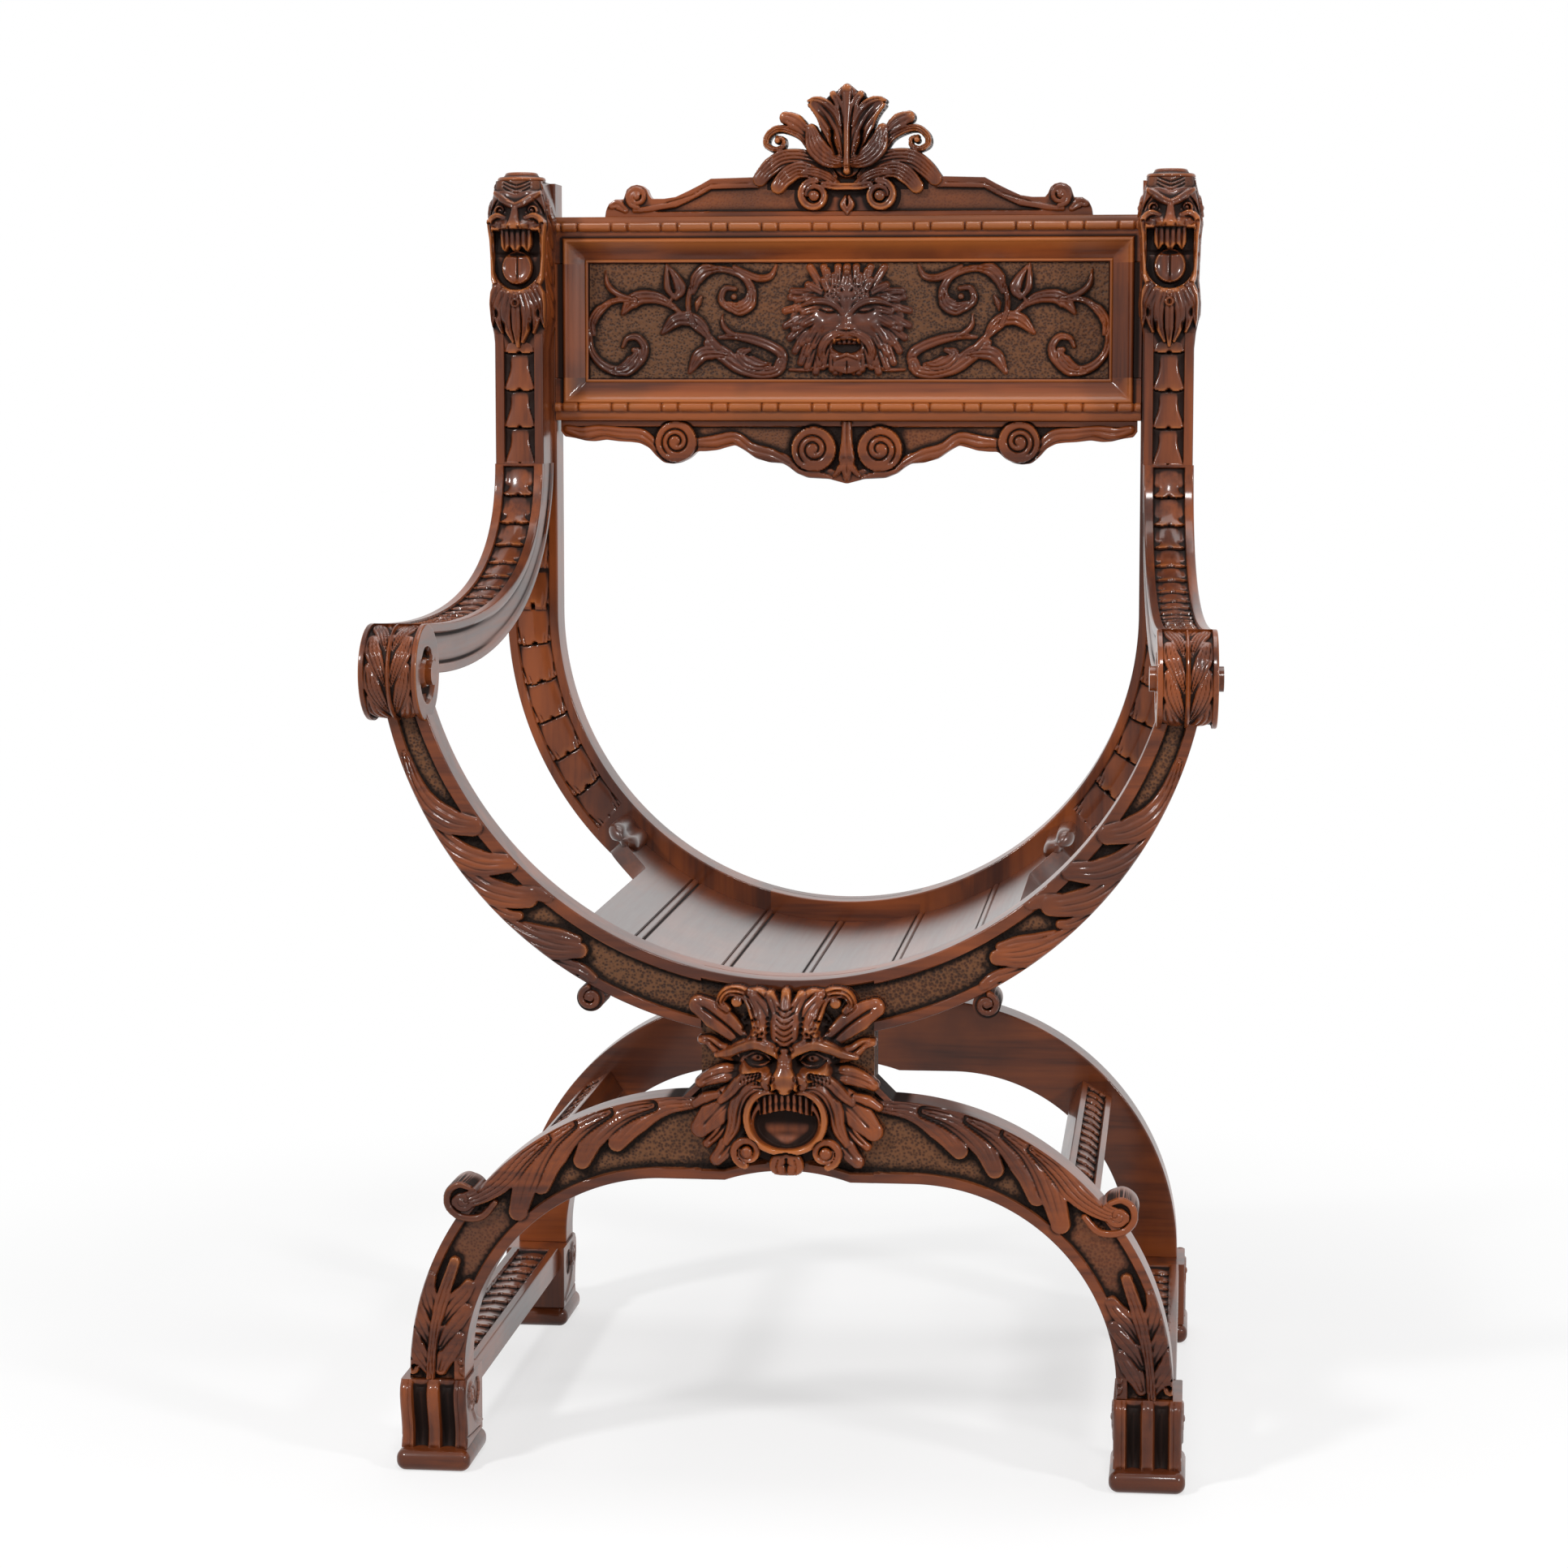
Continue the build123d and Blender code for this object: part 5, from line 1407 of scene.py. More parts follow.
def carvedPanel():
    b = back
    margin = 1.5
    half = b["panelHalf"] + margin
    gridX, gridZ = plateGrid(-half, half, b["panelBottom"] - margin, b["panelTop"] + margin, b["panelCell"])
    relief = Relief(np.abs(gridX), gridZ)
    relief.solid[:] = -20
    relief.stipple[:] = 1.0
    relief.height += 0.30 * noise(gridX, gridZ, 4.5, 21) + 0.22 * noise(gridX, gridZ, 2.2, 22)
    for path, widths, heights, flutes in panelStems:
        breadth = b["leafBreadth"] if flutes > 1 else 1.0
        relief.stroke(path, [width * breadth for width in widths], heights, flutes, 1.2, 0.9, 1.9)
    relief.knob(187, 866, 3, 3, 1)
    relief.knob(99, 912, 3, 3, 1)
    leafMask(relief, 893.0)
    face = b["panelFace"]
    piece = platePiece("backPanel", relief, face, face + 12, gridX, gridZ, b["panelCell"], False)
    finishPiece(piece, "across", ["back_panel"])


locks = (
    # inner and outer reach, how many, first angle, rise; the lowest ring first
    (20, 56, 16, -84, 3.2), (18, 47, 14, -80, 4.8), (16, 39, 10, -60, 6.4),
)


def leafMask(relief, middle):
    # small mask ringed by locks, with heavy brows, slit eyes, a broad moustache and a bared mouth
    rng = np.random.default_rng(7)
    ex, ez = relief.x, relief.z - middle

    def carve(path, *rest):
        relief.stroke([(px, middle + pz) for px, pz in path], *rest)

    r = np.hypot(ex / 51, ez / 43)
    pick = r < 1
    relief.over(pick, smooth((1 - r[pick]) * 16), 3.2 - 1.6 * r[pick] ** 2)
    for inner, outer, count, first, rise in locks:
        for degrees in np.linspace(first, 86, count):
            a = math.radians(degrees + rng.uniform(-2, 2))
            swirl = math.radians(rng.uniform(6, 16) * (1 if degrees < 50 else -0.4))
            tip = outer * rng.uniform(0.94, 1.0)
            b = a - swirl
            limit = 44.5 if math.sin(b) > 0 else 46.0
            tip = min(tip, limit / max(abs(math.sin(b)), 1e-3))
            path = [(reach * math.cos(angle), reach * math.sin(angle)) for reach, angle in
                    ((inner, a), ((inner + tip) / 2, a - 0.2 * swirl), (tip, b))]
            carve(path, [2.6, 4, 3.6], [rise + 0.4, rise + 0.9, rise * 0.8], 1, 1.3, 0.9, 2.4)
    r = np.hypot(ex / 31, (ez - 1) / 31)
    pick = r < 1
    relief.over(pick, smooth((1 - r[pick]) * 7), 4.0 + 4.6 * np.sqrt(1 - r[pick] ** 2.4))
    for px, pz, wide, high, rise in (
            (0, 15, 5, 8, 1.8), (12, 22, 9, 6, 1.6), (16.5, 8, 8, 4, -3.4), (16.5, 7.6, 5, 2.4, 3),
            (0, -2, 3.6, 10, 2.6), (0, -9, 5.5, 3.4, 2.6), (6, -9, 2.6, 2.4, 1.2), (19, -4, 7.5, 6, 2.2),
            (7, 9, 2.4, 4, -1.8)):
        relief.mound(px, middle + pz, wide, high, rise)
    # brow, moustache, mouth with teeth, lower lip and chin
    carve([(3, 4), (9, 11), (18, 15), (29, 15), (38, 12)], [2.2, 3, 3.2, 3, 1.8],
          [10.4, 10.6, 10.2, 8.8, 5.5], 1, 0.8, 0.9, 1.8)
    carve([(2, -12), (10, -13.5), (18, -19), (22, -28), (20, -38)], [2.6, 3.8, 4.2, 3.8, 2.2],
          [10, 10.4, 9.4, 7.6, 4.6], 2, 0.9, 0.9, 1.8)
    relief.blend(smooth((1 - np.hypot(ex / 14, (ez + 24) / 7.0)) * 4), 1.6)
    teeth = smooth((ez + 22.5) / 0.9) * smooth((-17.0 - ez) / 0.9) * smooth((12 - ex) / 1.2)
    relief.height += teeth * (4.4 - 2.2 * bell(np.mod(ex + 2.2, 4.4) - 2.2, 0.7))
    carve([(0, -31), (8, -33.5), (13, -31)], [2.2, 2.4, 1.6], [7, 6.8, 5.4], 0, 0.8, 0.9, 1)
    carve([(0, -36), (8, -40.5), (3, -44), (0, -45)], [3.5, 4.5, 4, 3], [5.2, 5, 4.6, 4.6], 0)
    relief.groove([(0, middle - 36), (0, middle - 47)], 0.8, 1.4)
    for px, pz in zip(rng.uniform(0, 22, 26), rng.uniform(17, 28, 26)):
        relief.mound(px, middle + pz, 0.95, 0.95, -1.6)
    relief.groove([(9, middle + 6), (16, middle + 5.4), (24, middle + 8)], 0.8, 1.6)
    relief.knob(0, middle + 40, 3.4, 5.5, 1.4)


carvedPanel()
print("back frame and panel made")


beads = {"pitch": 44.0, "pearl": 14.5, "waist": 0.42, "notch": 1.15, "proud": 5.0, "half": 4.0, "columns": 12}


def beadStrip(name, middle, node):
    # long beads parted by pairs of notches with a small pearl between
    s = beads
    face, half, count = back["railFace"], back["halfWidth"], s["columns"]
    x = np.arange(-half + 0.2, half, 0.8)[:, None]
    fromPearl = np.abs(np.abs(np.mod(x, s["pitch"]) - s["pitch"] / 2) - s["pearl"] / 2)
    size = 1 - s["waist"] * bell(fromPearl, s["notch"])
    angle = np.linspace(0, math.pi, count)
    points = lineAt(x, face - s["proud"] * size * np.sin(angle),
                    middle + s["half"] * (0.5 + 0.5 * size) * np.cos(angle))
    # the strip is let into the rail at both edges
    low, high = points[:, -1:].copy(), points[:, :1].copy()
    low[:, :, 1] = high[:, :, 1] = face + 1.5
    points = np.concatenate([high, points, low, high], axis=1)
    # painted shade in the notches and where the strip is let into the rail, painted highlight down the beads
    tone = np.tile(np.where(size < 0.7, -0.55, 0.35 * size), (1, points.shape[1]))
    tone[:, 2:count] += 0.25
    tone[:, [0, 1, count, count + 1, count + 2]] -= 0.6
    finishPiece(closeUp(meshFromGrid(name, points, tone), 50), "across", [node])


beadStrip("topBead", 972.0, "top_bead")
beadStrip("bottomBead", 816.5, "bottom_bead")

crestLine = [(0, 33), (84, 34), (119, 33), (128, 28), (139, 22.5), (150, 17.5), (160, 16), (171, 16),
             (173.5, 19), (175.5, 24), (179, 27), (184, 28.2), (189, 27), (193, 24), (195, 18),
             (195.8, 15.6), (203, 15.5), (208.5, 12), (211, 7), (211.8, 3), (212, 1)]


def edgedBoard(line, half, count, base, sign, smoothing=0):
    # a board of the back between a straight edge and an outline that is alike on both sides
    x = np.linspace(-half, half, count)
    depth = np.interp(np.abs(x), *np.array(line).T)
    if smoothing:
        depth = blurred(depth[:, None], smoothing)[:, 0]
    straight = np.stack([x, np.full(len(x), base)], axis=1)
    return straight, np.stack([x, base + sign * depth], axis=1)


def crestBoard():
    b = back
    base = b["railTop"]
    straight, outline = edgedBoard(crestLine, b["crestHalf"], 571, base, 1)
    bar = frameBar(straight, outline, b["crestFace"], b["crestBack"], (34, 3, 3, 3), 0.9)
    face = bar.faces[0]
    relief = evenRelief(face)
    fx, fz = relief.x, relief.z
    border = np.maximum(smooth((face["back"] - 8.5) / 1.2), smooth((78 - fx) / 2))
    relief.sink(border * smooth((fz - base - 4) / 1.2) * smooth((170 - fx) / 8), 3.0, 0.35)
    relief.groove([(84, base + 29), (118, base + 28), (136, base + 19), (160, base + 12)], 0.7, 0.9)
    relief.stroke([(150, base + 11), (162, base + 9), (174, base + 7), (186, base + 6)], [2.2, 2.6, 2.6, 2.2],
                  [0.4, 1.2, 1.6, 1.8], 0)
    relief.stroke(spiral(184, base + 17.5, 9, 3, 1.6, -95, 1), 2.3, 2.8, crown=0.9)
    relief.knob(184, base + 17.5, 3.2, 2.8, 1)
    relief.stroke([(194, base + 6), (201, base + 11), (206, base + 10)], [2.6, 4.6, 3.2], [1.6, 2.4, 1.8], 1)
    finishPiece(bar.build("crestBoard", 0.8), "across", ["crest_board"])


apronLine = [(0, 55), (15, 51), (34, 50), (44, 46), (50, 41), (56, 37.5), (68, 36.5), (80, 33), (90, 26),
             (98, 21.5), (106, 23.5), (114, 26), (124, 27), (132, 27), (138, 33), (146, 37), (153, 38),
             (161, 37), (168, 31), (174, 24), (182, 20), (190, 19), (200, 18.5), (212, 17), (222, 18.5),
             (230, 18), (240, 15.5), (250, 14), (252, 8)]


def apronBoard():
    b = back
    top = b["railBottom"]
    straight, outline = edgedBoard(apronLine, b["apronHalf"], 561, top, -1, 2)
    bar = frameBar(straight, outline, b["crestFace"], b["crestBack"], (42, 3, 3, 3), 0.9)
    face = bar.faces[0]
    relief = evenRelief(face)
    relief.sink(smooth((face["back"] - 9.0) / 1.2) * smooth((face["across"] - 5) / 1.2), 2.8, 0.7)

    def carve(path, *rest):
        relief.stroke([(px, top - depth) for px, depth in path], *rest)

    # waved leaves along the lower edge, then discs cut with a spiral, then the middle leaf
    carve([(50, 38), (66, 30), (84, 25), (98, 15), (116, 18), (132, 19)],
          [4, 5.6, 6, 5, 5.6, 4], [1.6, 2.4, 2.4, 1.8, 2.4, 1.8], 1, 0.9, 1, 1.4)
    carve([(166, 24), (180, 13), (198, 11), (216, 9), (232, 11), (246, 8)],
          [4, 5.4, 5.4, 4.6, 5.8, 4], [1.6, 2.4, 2.4, 1.8, 2.6, 1.8], 1, 0.9, 1, 1.4)
    for px, pz, size, rise in ((150, top - 18.5, 18.5, 3.0), (29, top - 25.0, 20.0, 3.4)):
        relief.knob(px, pz, size, rise, 0.9, 0.9)
        relief.groove(spiral(px, pz, size * 0.72, 3, 1.9, -60, 1), 0.95, 2.6)
    carve([(0, 1), (0, 14), (0, 34), (0, 50)], [4.5, 5.2, 7.6, 3], [3.4, 4.6, 4.6, 2.4], 1, 1.6, 1, 2)
    carve([(2, 34), (6, 42), (11, 48)], [2, 3.4, 1.5], [3.2, 3.6, 2], 1)
    carve([(14, 50), (26, 47), (40, 46), (48, 38)], [2, 3.4, 3.4, 2], [1.8, 2.2, 2.2, 1.2], 0)
    finishPiece(bar.build("apronBoard", 0.8), "across", ["apron_board"])


crestBoard()
apronBoard()

crestLeaves = [
    # path, half widths, heights, grooves, crown; the lowest layer first
    ([(0, 1026), (0, 1048), (0, 1066)], [12, 23, 24], [3.5, 3.5, 3], 0, 0.6),
    ([(32, 1040), (39, 1049), (51, 1055), (61, 1056), (69, 1050), (70, 1042.5), (63, 1038.5), (56, 1041),
      (55.5, 1047), (61, 1049)],
     [3.8, 3.8, 3.6, 3.5, 3.3, 3.1, 2.9, 2.6, 2.2, 1.8], [5, 6, 6.5, 6.8, 6.8, 6.6, 6.4, 6.2, 5.8, 5],
     2, 1.2),
    ([(31, 1049), (40, 1058), (48, 1063.5), (53.5, 1065.5)], [2.8, 5.4, 7.4, 5.6], [5.5, 7.5, 8.8, 7.4],
     2, 2),
    # swags that fall over the volutes
    ([(12, 1015), (24, 1026), (40, 1031), (56, 1030), (68, 1022), (76, 1013)], [4, 6.8, 7.8, 8.2, 8, 6.6],
     [4.5, 5.8, 6.6, 6.8, 6.2, 4.6], 4, 1.6),
    ([(15, 1009), (28, 1018), (42, 1020.5), (53, 1014.5), (60, 1006.5)], [3.6, 6, 7, 7.8, 6.6],
     [6, 8, 9, 9.4, 8], 4, 1.8),
    ([(8, 1009), (18, 1015.5), (29, 1019), (36, 1019)], [2.6, 4, 4.2, 3.2], [6.5, 8.5, 10, 9], 2, 1.2),
    # bar between the volutes
    ([(0, 1006.5), (10, 1006.5), (20, 1008)], [3.4, 3.4, 3.2], [8.5, 8.5, 8], 1, 0.8),
    # palmette: inner cups, broad side lobes that turn over at the tip, top leaf, middle vein
    ([(0, 1058), (0, 1074), (0, 1084)], [6, 11, 9], [7, 8, 8], 3, 1),
    ([(3, 1030), (8, 1050), (16, 1066), (25, 1076)], [5, 10, 11.5, 7.5], [8.5, 7.6, 7.4, 8.4], 4, -1.2),
    ([(8, 1040), (16, 1055), (24, 1066), (32.5, 1076)], [1.4, 2, 2.2, 1.8], [9, 9.4, 9.4, 9.8], 0, 0.8),
    ([(5, 1058), (10, 1070), (18, 1078), (27, 1081), (33, 1079.5)], [1.8, 2.6, 3.4, 3.2, 1.8],
     [9.6, 10.2, 10.8, 10.8, 9.6], 1, 1.2),
    ([(3, 1062), (7, 1077), (12, 1085)], [2.4, 4.2, 3.4], [9.6, 10.2, 9.6], 1, 1),
    ([(3, 1027), (15, 1030), (26, 1040), (31, 1055)], [4.8, 8.6, 9.2, 5.4], [9.5, 11.5, 12, 9.5], 4, 2.2),
    ([(0, 1022), (0, 1050), (0, 1074), (0, 1088)], [2.8, 2.6, 3, 4.6], [12.5, 12, 11, 10.5], 0, 1.4),
]


def crestCarving():
    b = back
    cell = b["crestCell"]
    gridX, gridZ = plateGrid(-92, 92, b["railTop"] + 2.0, 1094.2, cell)
    relief = Relief(np.abs(gridX), gridZ, -1.6)
    x, z = relief.x, relief.z
    # plain field between the leaves, level with the board's ground
    field = np.minimum(np.hypot(x - 28.5, z - 999) - 18.0, np.maximum(x - 30, z - 1024))
    field = np.minimum(field, np.maximum(np.maximum(x - 70, z - 1022), 1004 - z))
    relief.solid = np.minimum(relief.solid, np.maximum(field, b["railTop"] + 2.5 - z))
    for path, widths, heights, flutes, crown in crestLeaves:
        relief.stroke(path, widths, heights, flutes, 1.3, 1, crown)
    relief.stroke(spiral(28.5, 999, 12.4, 6.2, 1.25, 95, -1), [3.6, 3.6, 3.3, 2.6], [8.2, 8.6, 8.4, 7.4],
                  1, 0.7, 0.9, 1.2)
    relief.knob(28.5, 998.5, 5.2, 7.6, 2.2, 1.2)
    relief.knob(60.5, 1046, 3, 6.2, 1.2)
    relief.knob(0, 1090, 4.4, 9.8, 1.2)
    relief.knob(0, 1019.5, 3.4, 9.5, 1.6, 1.5)
    relief.stroke([(0, 985), (3.5, 991), (1.5, 998)], [2.8, 3.2, 1.4], [3.5, 4.5, 3], 1)
    # slits in the cups
    for width, depth in ((1.7, 6.0), (0.9, 2.0)):
        relief.groove([(8.5, 1033), (12, 1044), (13.5, 1055)], width, depth)
    relief.groove([(2.8, 1030), (3.4, 1056), (6, 1074)], 0.8, 1.8)
    relief.groove([(11, 1046), (16, 1060), (24, 1070)], 1, 1.8)
    piece = platePiece("crestCarving", relief, b["crestFace"] + 1.0, b["crestBack"] - 0.6, gridX, gridZ, cell)
    finishPiece(piece, "upright", ["crest_carving"])


crestCarving()
print("crest and apron carved")


# ---- front mask

maskLeaves = [
    # path, half widths, heights, grooves; the lowest layer first
    ([(30, 286), (40, 270), (48, 257), (54, 250)], [7, 8.5, 8, 5.5], [5, 8, 8.5, 6.5], 1),
    ([(44, 282), (53, 270), (61, 262)], [4, 5, 4], [6, 8, 6], 1),
    ([(32, 308), (46, 296), (58, 283), (66, 274)], [8, 10.5, 11.5, 8], [7, 10, 10.5, 8.5], 1),
    ([(36, 318), (48, 317), (59, 313), (66, 309)], [7, 8, 7, 4.6], [9, 10.5, 9.5, 7], 1),
    ([(52, 300), (62, 297), (70, 292)], [4, 5, 3.6], [8, 8.5, 6], 0),
    ([(38, 332), (50, 335), (58, 341), (65, 342)], [7, 6.5, 5.4, 3.6], [10, 10.5, 9.5, 7], 1),
    ([(33, 343), (46, 355), (58, 364), (67, 369)], [7, 9.5, 11, 8], [10, 11.5, 12.5, 10], 1),
    ([(20, 356), (26, 372), (34, 380), (45, 379.5), (50, 372), (45, 366.5)], [6, 6, 5.2, 4.8, 4.4, 3.6],
     [12, 13, 13, 12.5, 12, 11], 2),
    ([(12, 358), (14, 370), (19, 378), (27, 379)], [6, 6.5, 6, 4.4], [13, 14, 13, 11], 1),
]


def frontMask():
    cell, face = 0.67, frontFrame["face"]
    gridX, gridZ = plateGrid(-76, 76, 235.6, 385.4, cell)
    relief = Relief(np.abs(gridX), gridZ, 1.5)
    x, z = relief.x, relief.z
    # leafy plate under the face
    plate = np.minimum(np.hypot(x, (z - 322) / 1.2) - 46, np.hypot(x / 1.2, (z - 276) / 0.9) - 32)
    relief.solid = np.minimum(relief.solid, plate)
    for path, widths, heights, flutes in maskLeaves:
        relief.stroke(path, widths, heights, flutes, 2.2, 1.3, 3.4)
        for side in (-1, 1) if flutes else ():
            relief.groove([(px + side * 2.6, pz + side * 2.2) for px, pz in path], 0.7, 0.9)
    relief.knob(37.5, 372.5, 4.8, 10.5, 2.4)
    # fan on top
    for path, widths in (([(11, 350), (15, 364), (24, 376)], [5.5, 6.5, 4.5]),
                         ([(5, 352), (7, 366), (12, 378)], [5, 6, 4.2]),
                         ([(0, 352), (0, 368), (0, 380)], [5, 5.5, 4])):
        relief.stroke(path, widths, [17, 15, 12.5], 1, 1.6, 1.1, 2.6)
    # head
    r = np.hypot(x / 39, (z - 325) / 44)
    pick = r < 1
    relief.over(pick, smooth((1 - r[pick]) * 5), 9.0 + 11.5 * np.sqrt(1 - r[pick] ** 3))
    for px, pz, wide, high, rise, power in (
            (21.5, 352, 12.5, 11, 6.5, 3), (0, 354, 8.5, 18, 5.5, 3), (11.8, 351, 2, 11, -3.5, 2),
            (19, 331, 12.5, 7.4, -11.5, 3), (21, 331.5, 6.6, 4.4, 8.2, 2), (9.5, 328, 3.8, 7, -5, 2),
            (25, 314, 12, 9, 7.5, 2), (38, 325, 4, 9, -3, 2)):
        relief.mound(px, pz, wide, high, rise, power)
    # heavy brows that run down to the nose
    relief.stroke([(2, 333), (10, 339), (21, 343), (32, 340), (43, 334), (53, 331)],
                  [4.5, 5.4, 5.6, 5.2, 4.6, 3],
                  [24.5, 26.5, 25.5, 21, 14.5, 9.5], 0, 1, 1.6, 4)
    relief.groove([(12, 343), (22, 346.5), (33, 343), (44, 337)], 0.9, 1.6)
    # nose: bridge, bulb and wings
    relief.stroke([(0, 336), (0, 324), (0, 314)], [5.6, 6.4, 8.4], [22.5, 24.5, 26], 0, 0.8, 2, 4)
    relief.mound(0, 310.5, 10.5, 7, 6.5)
    relief.mound(12.5, 308.5, 5.4, 4.8, 8.5)
    relief.mound(5.6, 304, 2.6, 1.8, -7)
    relief.groove([(2.5, 335), (7, 338), (5, 342)], 0.9, 2)
    # lids
    relief.stroke([(11, 329.5), (16, 334.6), (23, 335.6), (31, 330.5)], [1.2, 1.6, 1.6, 1.1],
                  [14, 16.5, 16, 13], edge=0.8, crown=0.8)
    relief.stroke([(12, 328), (18, 325), (25, 325.4), (31, 329)], [1, 1.5, 1.5, 0.9], [14, 15.6, 15, 12],
                  edge=0.8, crown=0.8)
    relief.mound(20.5, 331, 1.3, 1.3, -3)
    # mouth: upper teeth and a hollow in painted shade, darkest under the teeth
    mouth = np.hypot(x / 28.5, (z - 281) / 24.5)
    pick = mouth < 1
    relief.over(pick, smooth((1 - mouth[pick]) * 12), 12.5)
    hollow = smooth((1 - np.hypot(x / 26, (z - 279) / 20.5)) * 7)
    relief.blend(hollow, 2.5 + 3.5 * bell(x, 11) * smooth((272 - z) / 9))
    relief.shade -= hollow * (0.12 + 0.45 * smooth((z - 272) / 12))
    foot = 287 + 2.5 * np.cos(x * 0.13)
    row = smooth((z - foot) / 1.3) * smooth((306 - z) / 2) * smooth((21.5 - x) / 1.6)
    between = bell(np.mod(x + 2.3, 4.6) - 2.3, 0.9)
    relief.blend(row, 17.5 - 0.010 * x ** 2 - 3.0 * between - 0.15 * (303 - z))
    # painted shade between the teeth
    relief.shade -= 0.3 * row * between
    # leafy moustache that sweeps round the mouth, then the thin rolled lip
    relief.stroke([(13, 309), (24, 309), (33, 302), (38, 290), (40, 277), (46, 264)],
                  [3.6, 5.6, 6.4, 6.4, 5.6, 3.6],
                  [21, 20, 17.5, 14, 11.5, 9], 2, 1.4, 1.4, 3.4)
    relief.stroke([(20, 318), (33, 313), (42, 303), (50, 296)], [3, 5, 5.4, 3.4], [20, 18, 14, 10],
                  1, 1.4, 1.4, 3)
    relief.stroke([(8, 305.5), (17, 304.5), (25.5, 298), (29.5, 287), (28, 274), (21, 264), (11, 258.8),
                   (0, 257.5)],
                  [1.8, 2.6, 3, 3, 2.8, 2.8, 2.8, 2.8], [21.5, 21.5, 20, 18, 16.2, 15, 14.2, 14],
                  0, 0.8, 1, 2.4)
    # bulb and wings of the nose, over the moustache
    relief.stroke([(0, 325), (0, 316), (0, 312)], [5.6, 9.2, 8.4], [25.5, 28.4, 27.6], 0, 1, 1.4, 3.2)
    relief.stroke([(10, 317), (14.4, 313), (13.4, 310)], [3.4, 4.4, 3.4], [25, 25.5, 23.5], 0, 1, 1.2, 2.8)
    relief.mound(6.6, 306.6, 2.6, 1.7, -8)
    relief.groove([(8.8, 320), (10.2, 314), (9.6, 309)], 0.8, 2.2)
    # painted highlight on the bulb of the nose
    relief.shade += 0.25 * bell(np.hypot(x / 12, (z - 314) / 9), 1, 4)
    # chin pad
    relief.stroke([(0, 253), (6, 250), (7, 245), (0, 243)], [5, 6.5, 6, 5], [9.5, 9.5, 8.5, 8],
                  0, 1, 1.3, 2.8)
    relief.groove([(0, 238), (0, 247), (0, 253)], 1.2, 2.4)
    relief.groove([(6.5, 240), (7.5, 246), (6, 252)], 0.9, 1.6)
    # volutes that end the lower border
    relief.stroke(spiral(30, 257, 10.6, 5.2, 1.25, -80, 1), [3.4, 3.4, 3, 2.4], [10.5, 11, 11, 10],
                  0, 0.8, 1, 1.6)
    relief.knob(30, 257, 5, 10.4, 2.4, 1)
    # tool marks: drilled pits on the side lobes, crescents on the middle one, hatched cheeks
    rng = np.random.default_rng(5)
    for px, pz in zip(rng.uniform(12, 32, 26), rng.uniform(346, 362, 26)):
        relief.mound(px, pz, 1.2, 1, -3.2)
    for k in range(7):
        relief.groove([(0, 340 + 4.4 * k), (3.5, 341.4 + 4.4 * k), (6.5, 343.8 + 4.4 * k)], 0.8, 2)
    for k in range(6):
        relief.groove([(18 + 2.8 * k, 321 - 0.7 * k), (19.5 + 2.9 * k, 315), (20 + 2.7 * k, 310.5)], 0.6, 1.2)
    relief.height = np.clip(relief.height, 0.5, 29.6)
    piece = platePiece("frontMask", relief, face, face + 4.0, gridX, gridZ, cell)
    finishPiece(piece, "upright", ["front_mask"])


frontMask()
print("mask carved")


# ---- plain pieces that keep their own shape

plainNodes = {
    "screw": ["bearer_screws"],
    "deep": ["post_pegs", "mask_pegs", "crossing_pegs", "hand_buttons_left", "hand_buttons_right"],
    "across": ["seat_bearer_front", "seat_bearer_rear"],
    "upright": ["leg_pegs", "foot_pegs", "hand_pegs", "arm_pegs", "back_edge_pegs"],
}
for grain, names in plainNodes.items():
    for name in names:
        paint(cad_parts[name], grain)

# ---- studio

studio = {
    "camera": (0.3049, -3.0271, 0.8391), "aim": (-0.0025, -0.243, 0.5375), "lens": 85.9,
    # the floor glows by this share, and fully from the second of two distances on
    "floorHalf": 9.0, "world": 0.17, "floorGlow": 0.66, "glowFrom": (0.45, 1.25),
    # name, place, target, breadth, power
    "lamps": (
        ("key", (-1.6, -2.2, 2.2), (0.0, 0.0, 0.6), 0.34, 56.0),
        ("side", (2.2, -1.7, 1.4), (0.0, 0.0, 0.55), 0.32, 34.0),
        ("front", (0.5, -2.6, 2.9), (0.0, 0.0, 0.5), 0.36, 28.0),
        ("top", (0.1, 0.4, 3.0), (0.0, 0.0, 0.5), 1.6, 34.0),
    ),
}


def aimed(thing, place, target):
    thing.location = place
    thing.rotation_euler = (Vector(target) - Vector(place)).to_track_quat("-Z", "Y").to_euler()


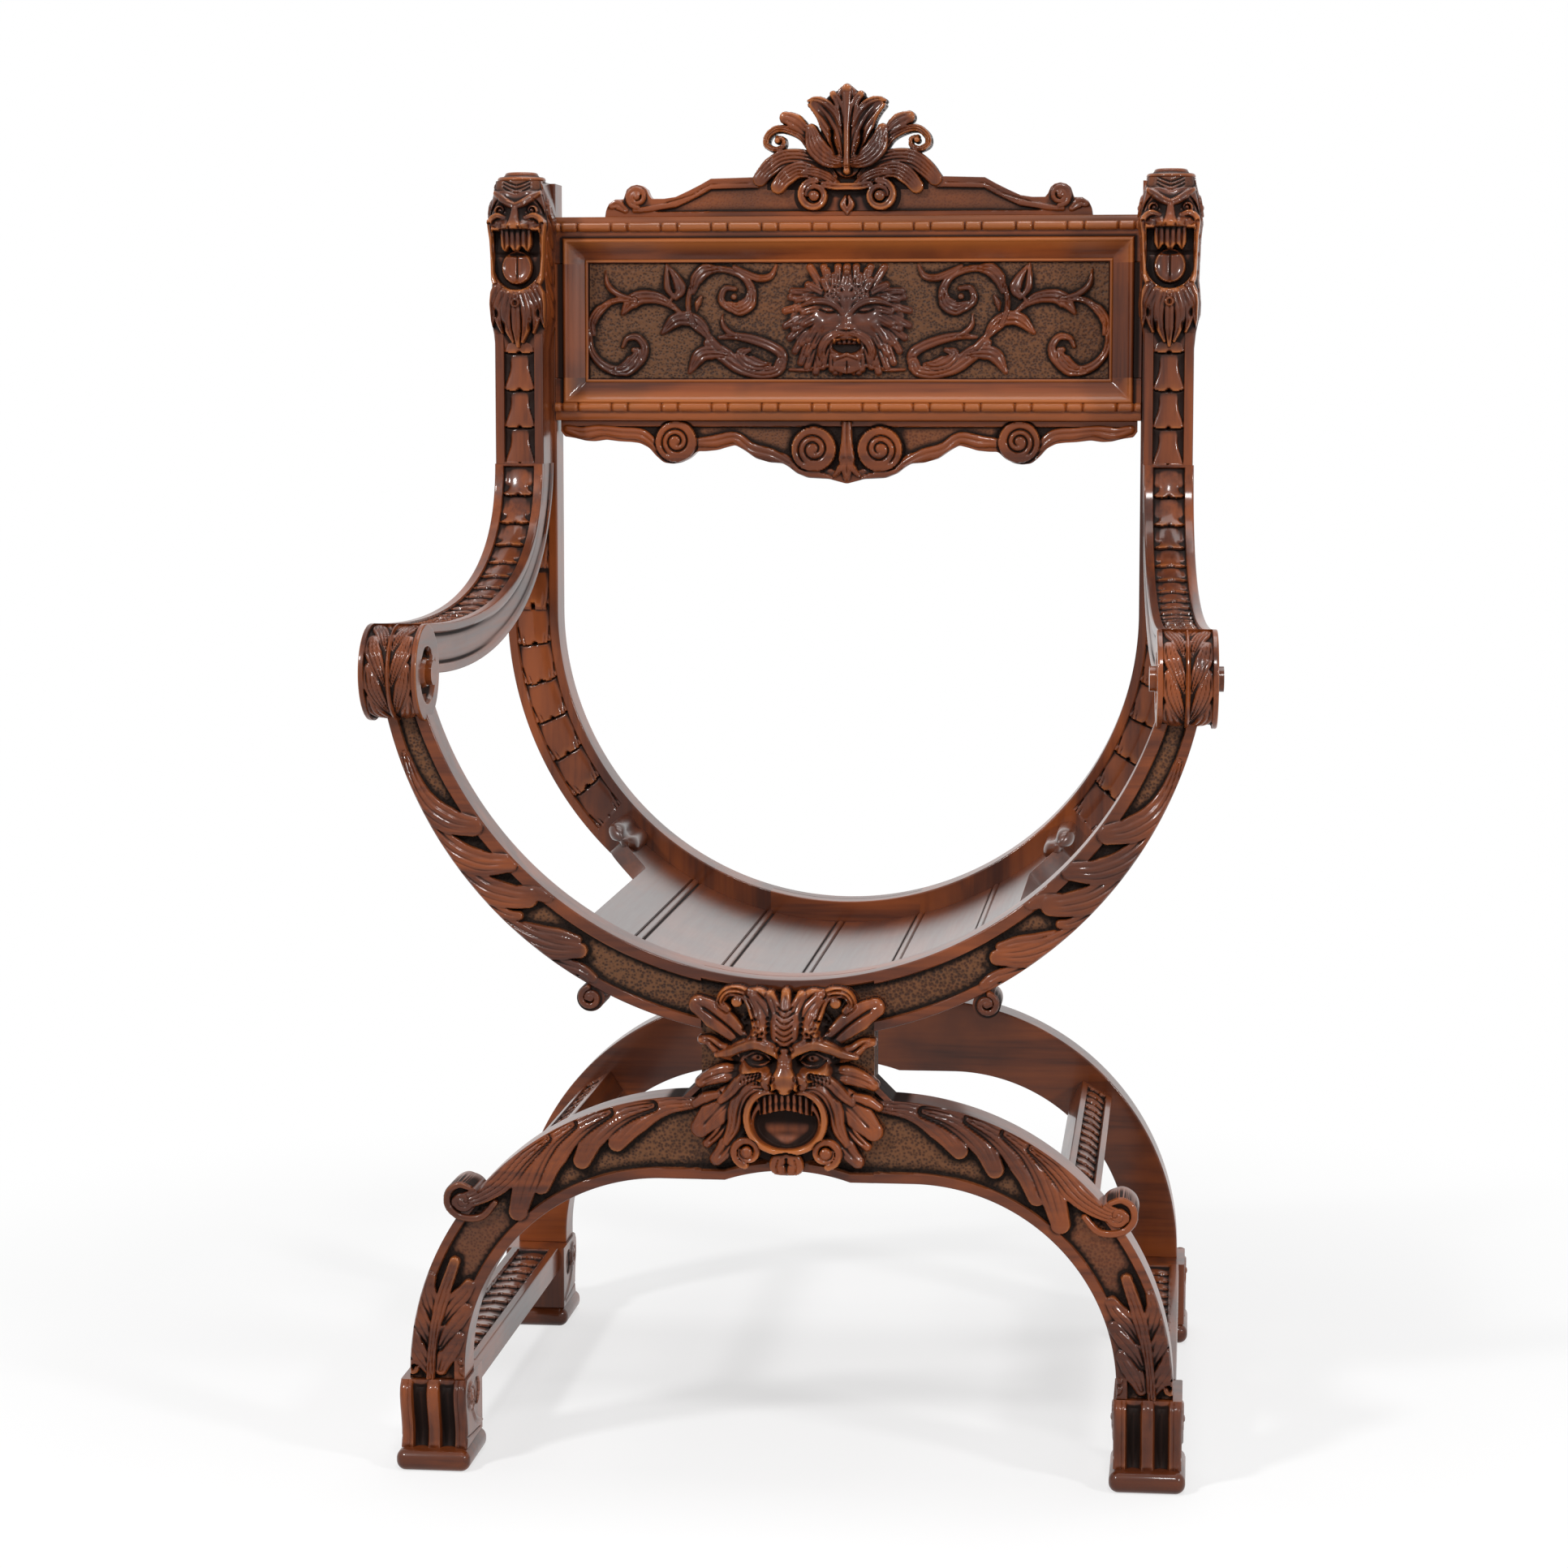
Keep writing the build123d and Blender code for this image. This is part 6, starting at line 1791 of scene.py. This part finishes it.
def makeStudio():
    s = studio
    scene = bpy.context.scene
    data = bpy.data.cameras.new("camera")
    data.lens, data.sensor_width = s["lens"], 36.0
    camera = bpy.data.objects.new("camera", data)
    scene.collection.objects.link(camera)
    aimed(camera, s["camera"], s["aim"])
    scene.camera = camera

    for name, place, target, size, power in s["lamps"]:
        lamp = bpy.data.lights.new(name, "AREA")
        lamp.size, lamp.energy = size, power
        holder = bpy.data.objects.new(name, lamp)
        scene.collection.objects.link(holder)
        aimed(holder, place, target)

    # the sky is white where it is seen and dim where it only lights
    world = bpy.data.worlds.new("studioWorld")
    scene.world = world
    world.use_nodes = True
    f = Finish("studioSky", world.node_tree)
    seen, shiny, through = (f.node("ShaderNodeLightPath", output=number) for number in (0, 3, 6))
    dim, white = (f.node("ShaderNodeBackground", sockets={"Color": (1, 1, 1, 1), "Strength": strength})
                  for strength in (s["world"], 1.0))
    both = f.node("ShaderNodeMixShader", sockets={0: seen + shiny + through, 1: dim, 2: white})
    f.node("ShaderNodeOutputWorld", sockets={"Surface": both})

    deselectAll()
    bpy.ops.mesh.primitive_grid_add(x_subdivisions=24, y_subdivisions=24, size=2 * s["floorHalf"])
    floor = bpy.context.active_object
    floor.name = "floor"
    f = Finish("paleFloor")
    place = f.node("ShaderNodeTexCoord", output=3)
    far = f.node("ShaderNodeVectorMath", {"operation": "LENGTH"}, {0: place}, 1)
    diffuse = f.node("ShaderNodeBsdfDiffuse", sockets={"Color": (0.93, 0.93, 0.93, 1)})
    glow = f.node("ShaderNodeEmission", sockets={"Color": (1, 1, 1, 1), "Strength": 1.0})
    seen, shiny, through = (f.node("ShaderNodeLightPath", output=number) for number in (0, 3, 6))
    glowing = s["floorGlow"] + f.between(far, *s["glowFrom"]) * (1 - s["floorGlow"])
    share = glowing * (seen + shiny + through)
    both = f.node("ShaderNodeMixShader", sockets={0: share, 1: diffuse, 2: glow})
    f.node("ShaderNodeOutputMaterial", sockets={"Surface": both})
    floor.data.materials.append(f.material)
    scene.view_settings.view_transform = "Standard"


makeStudio()
print("studio ready")
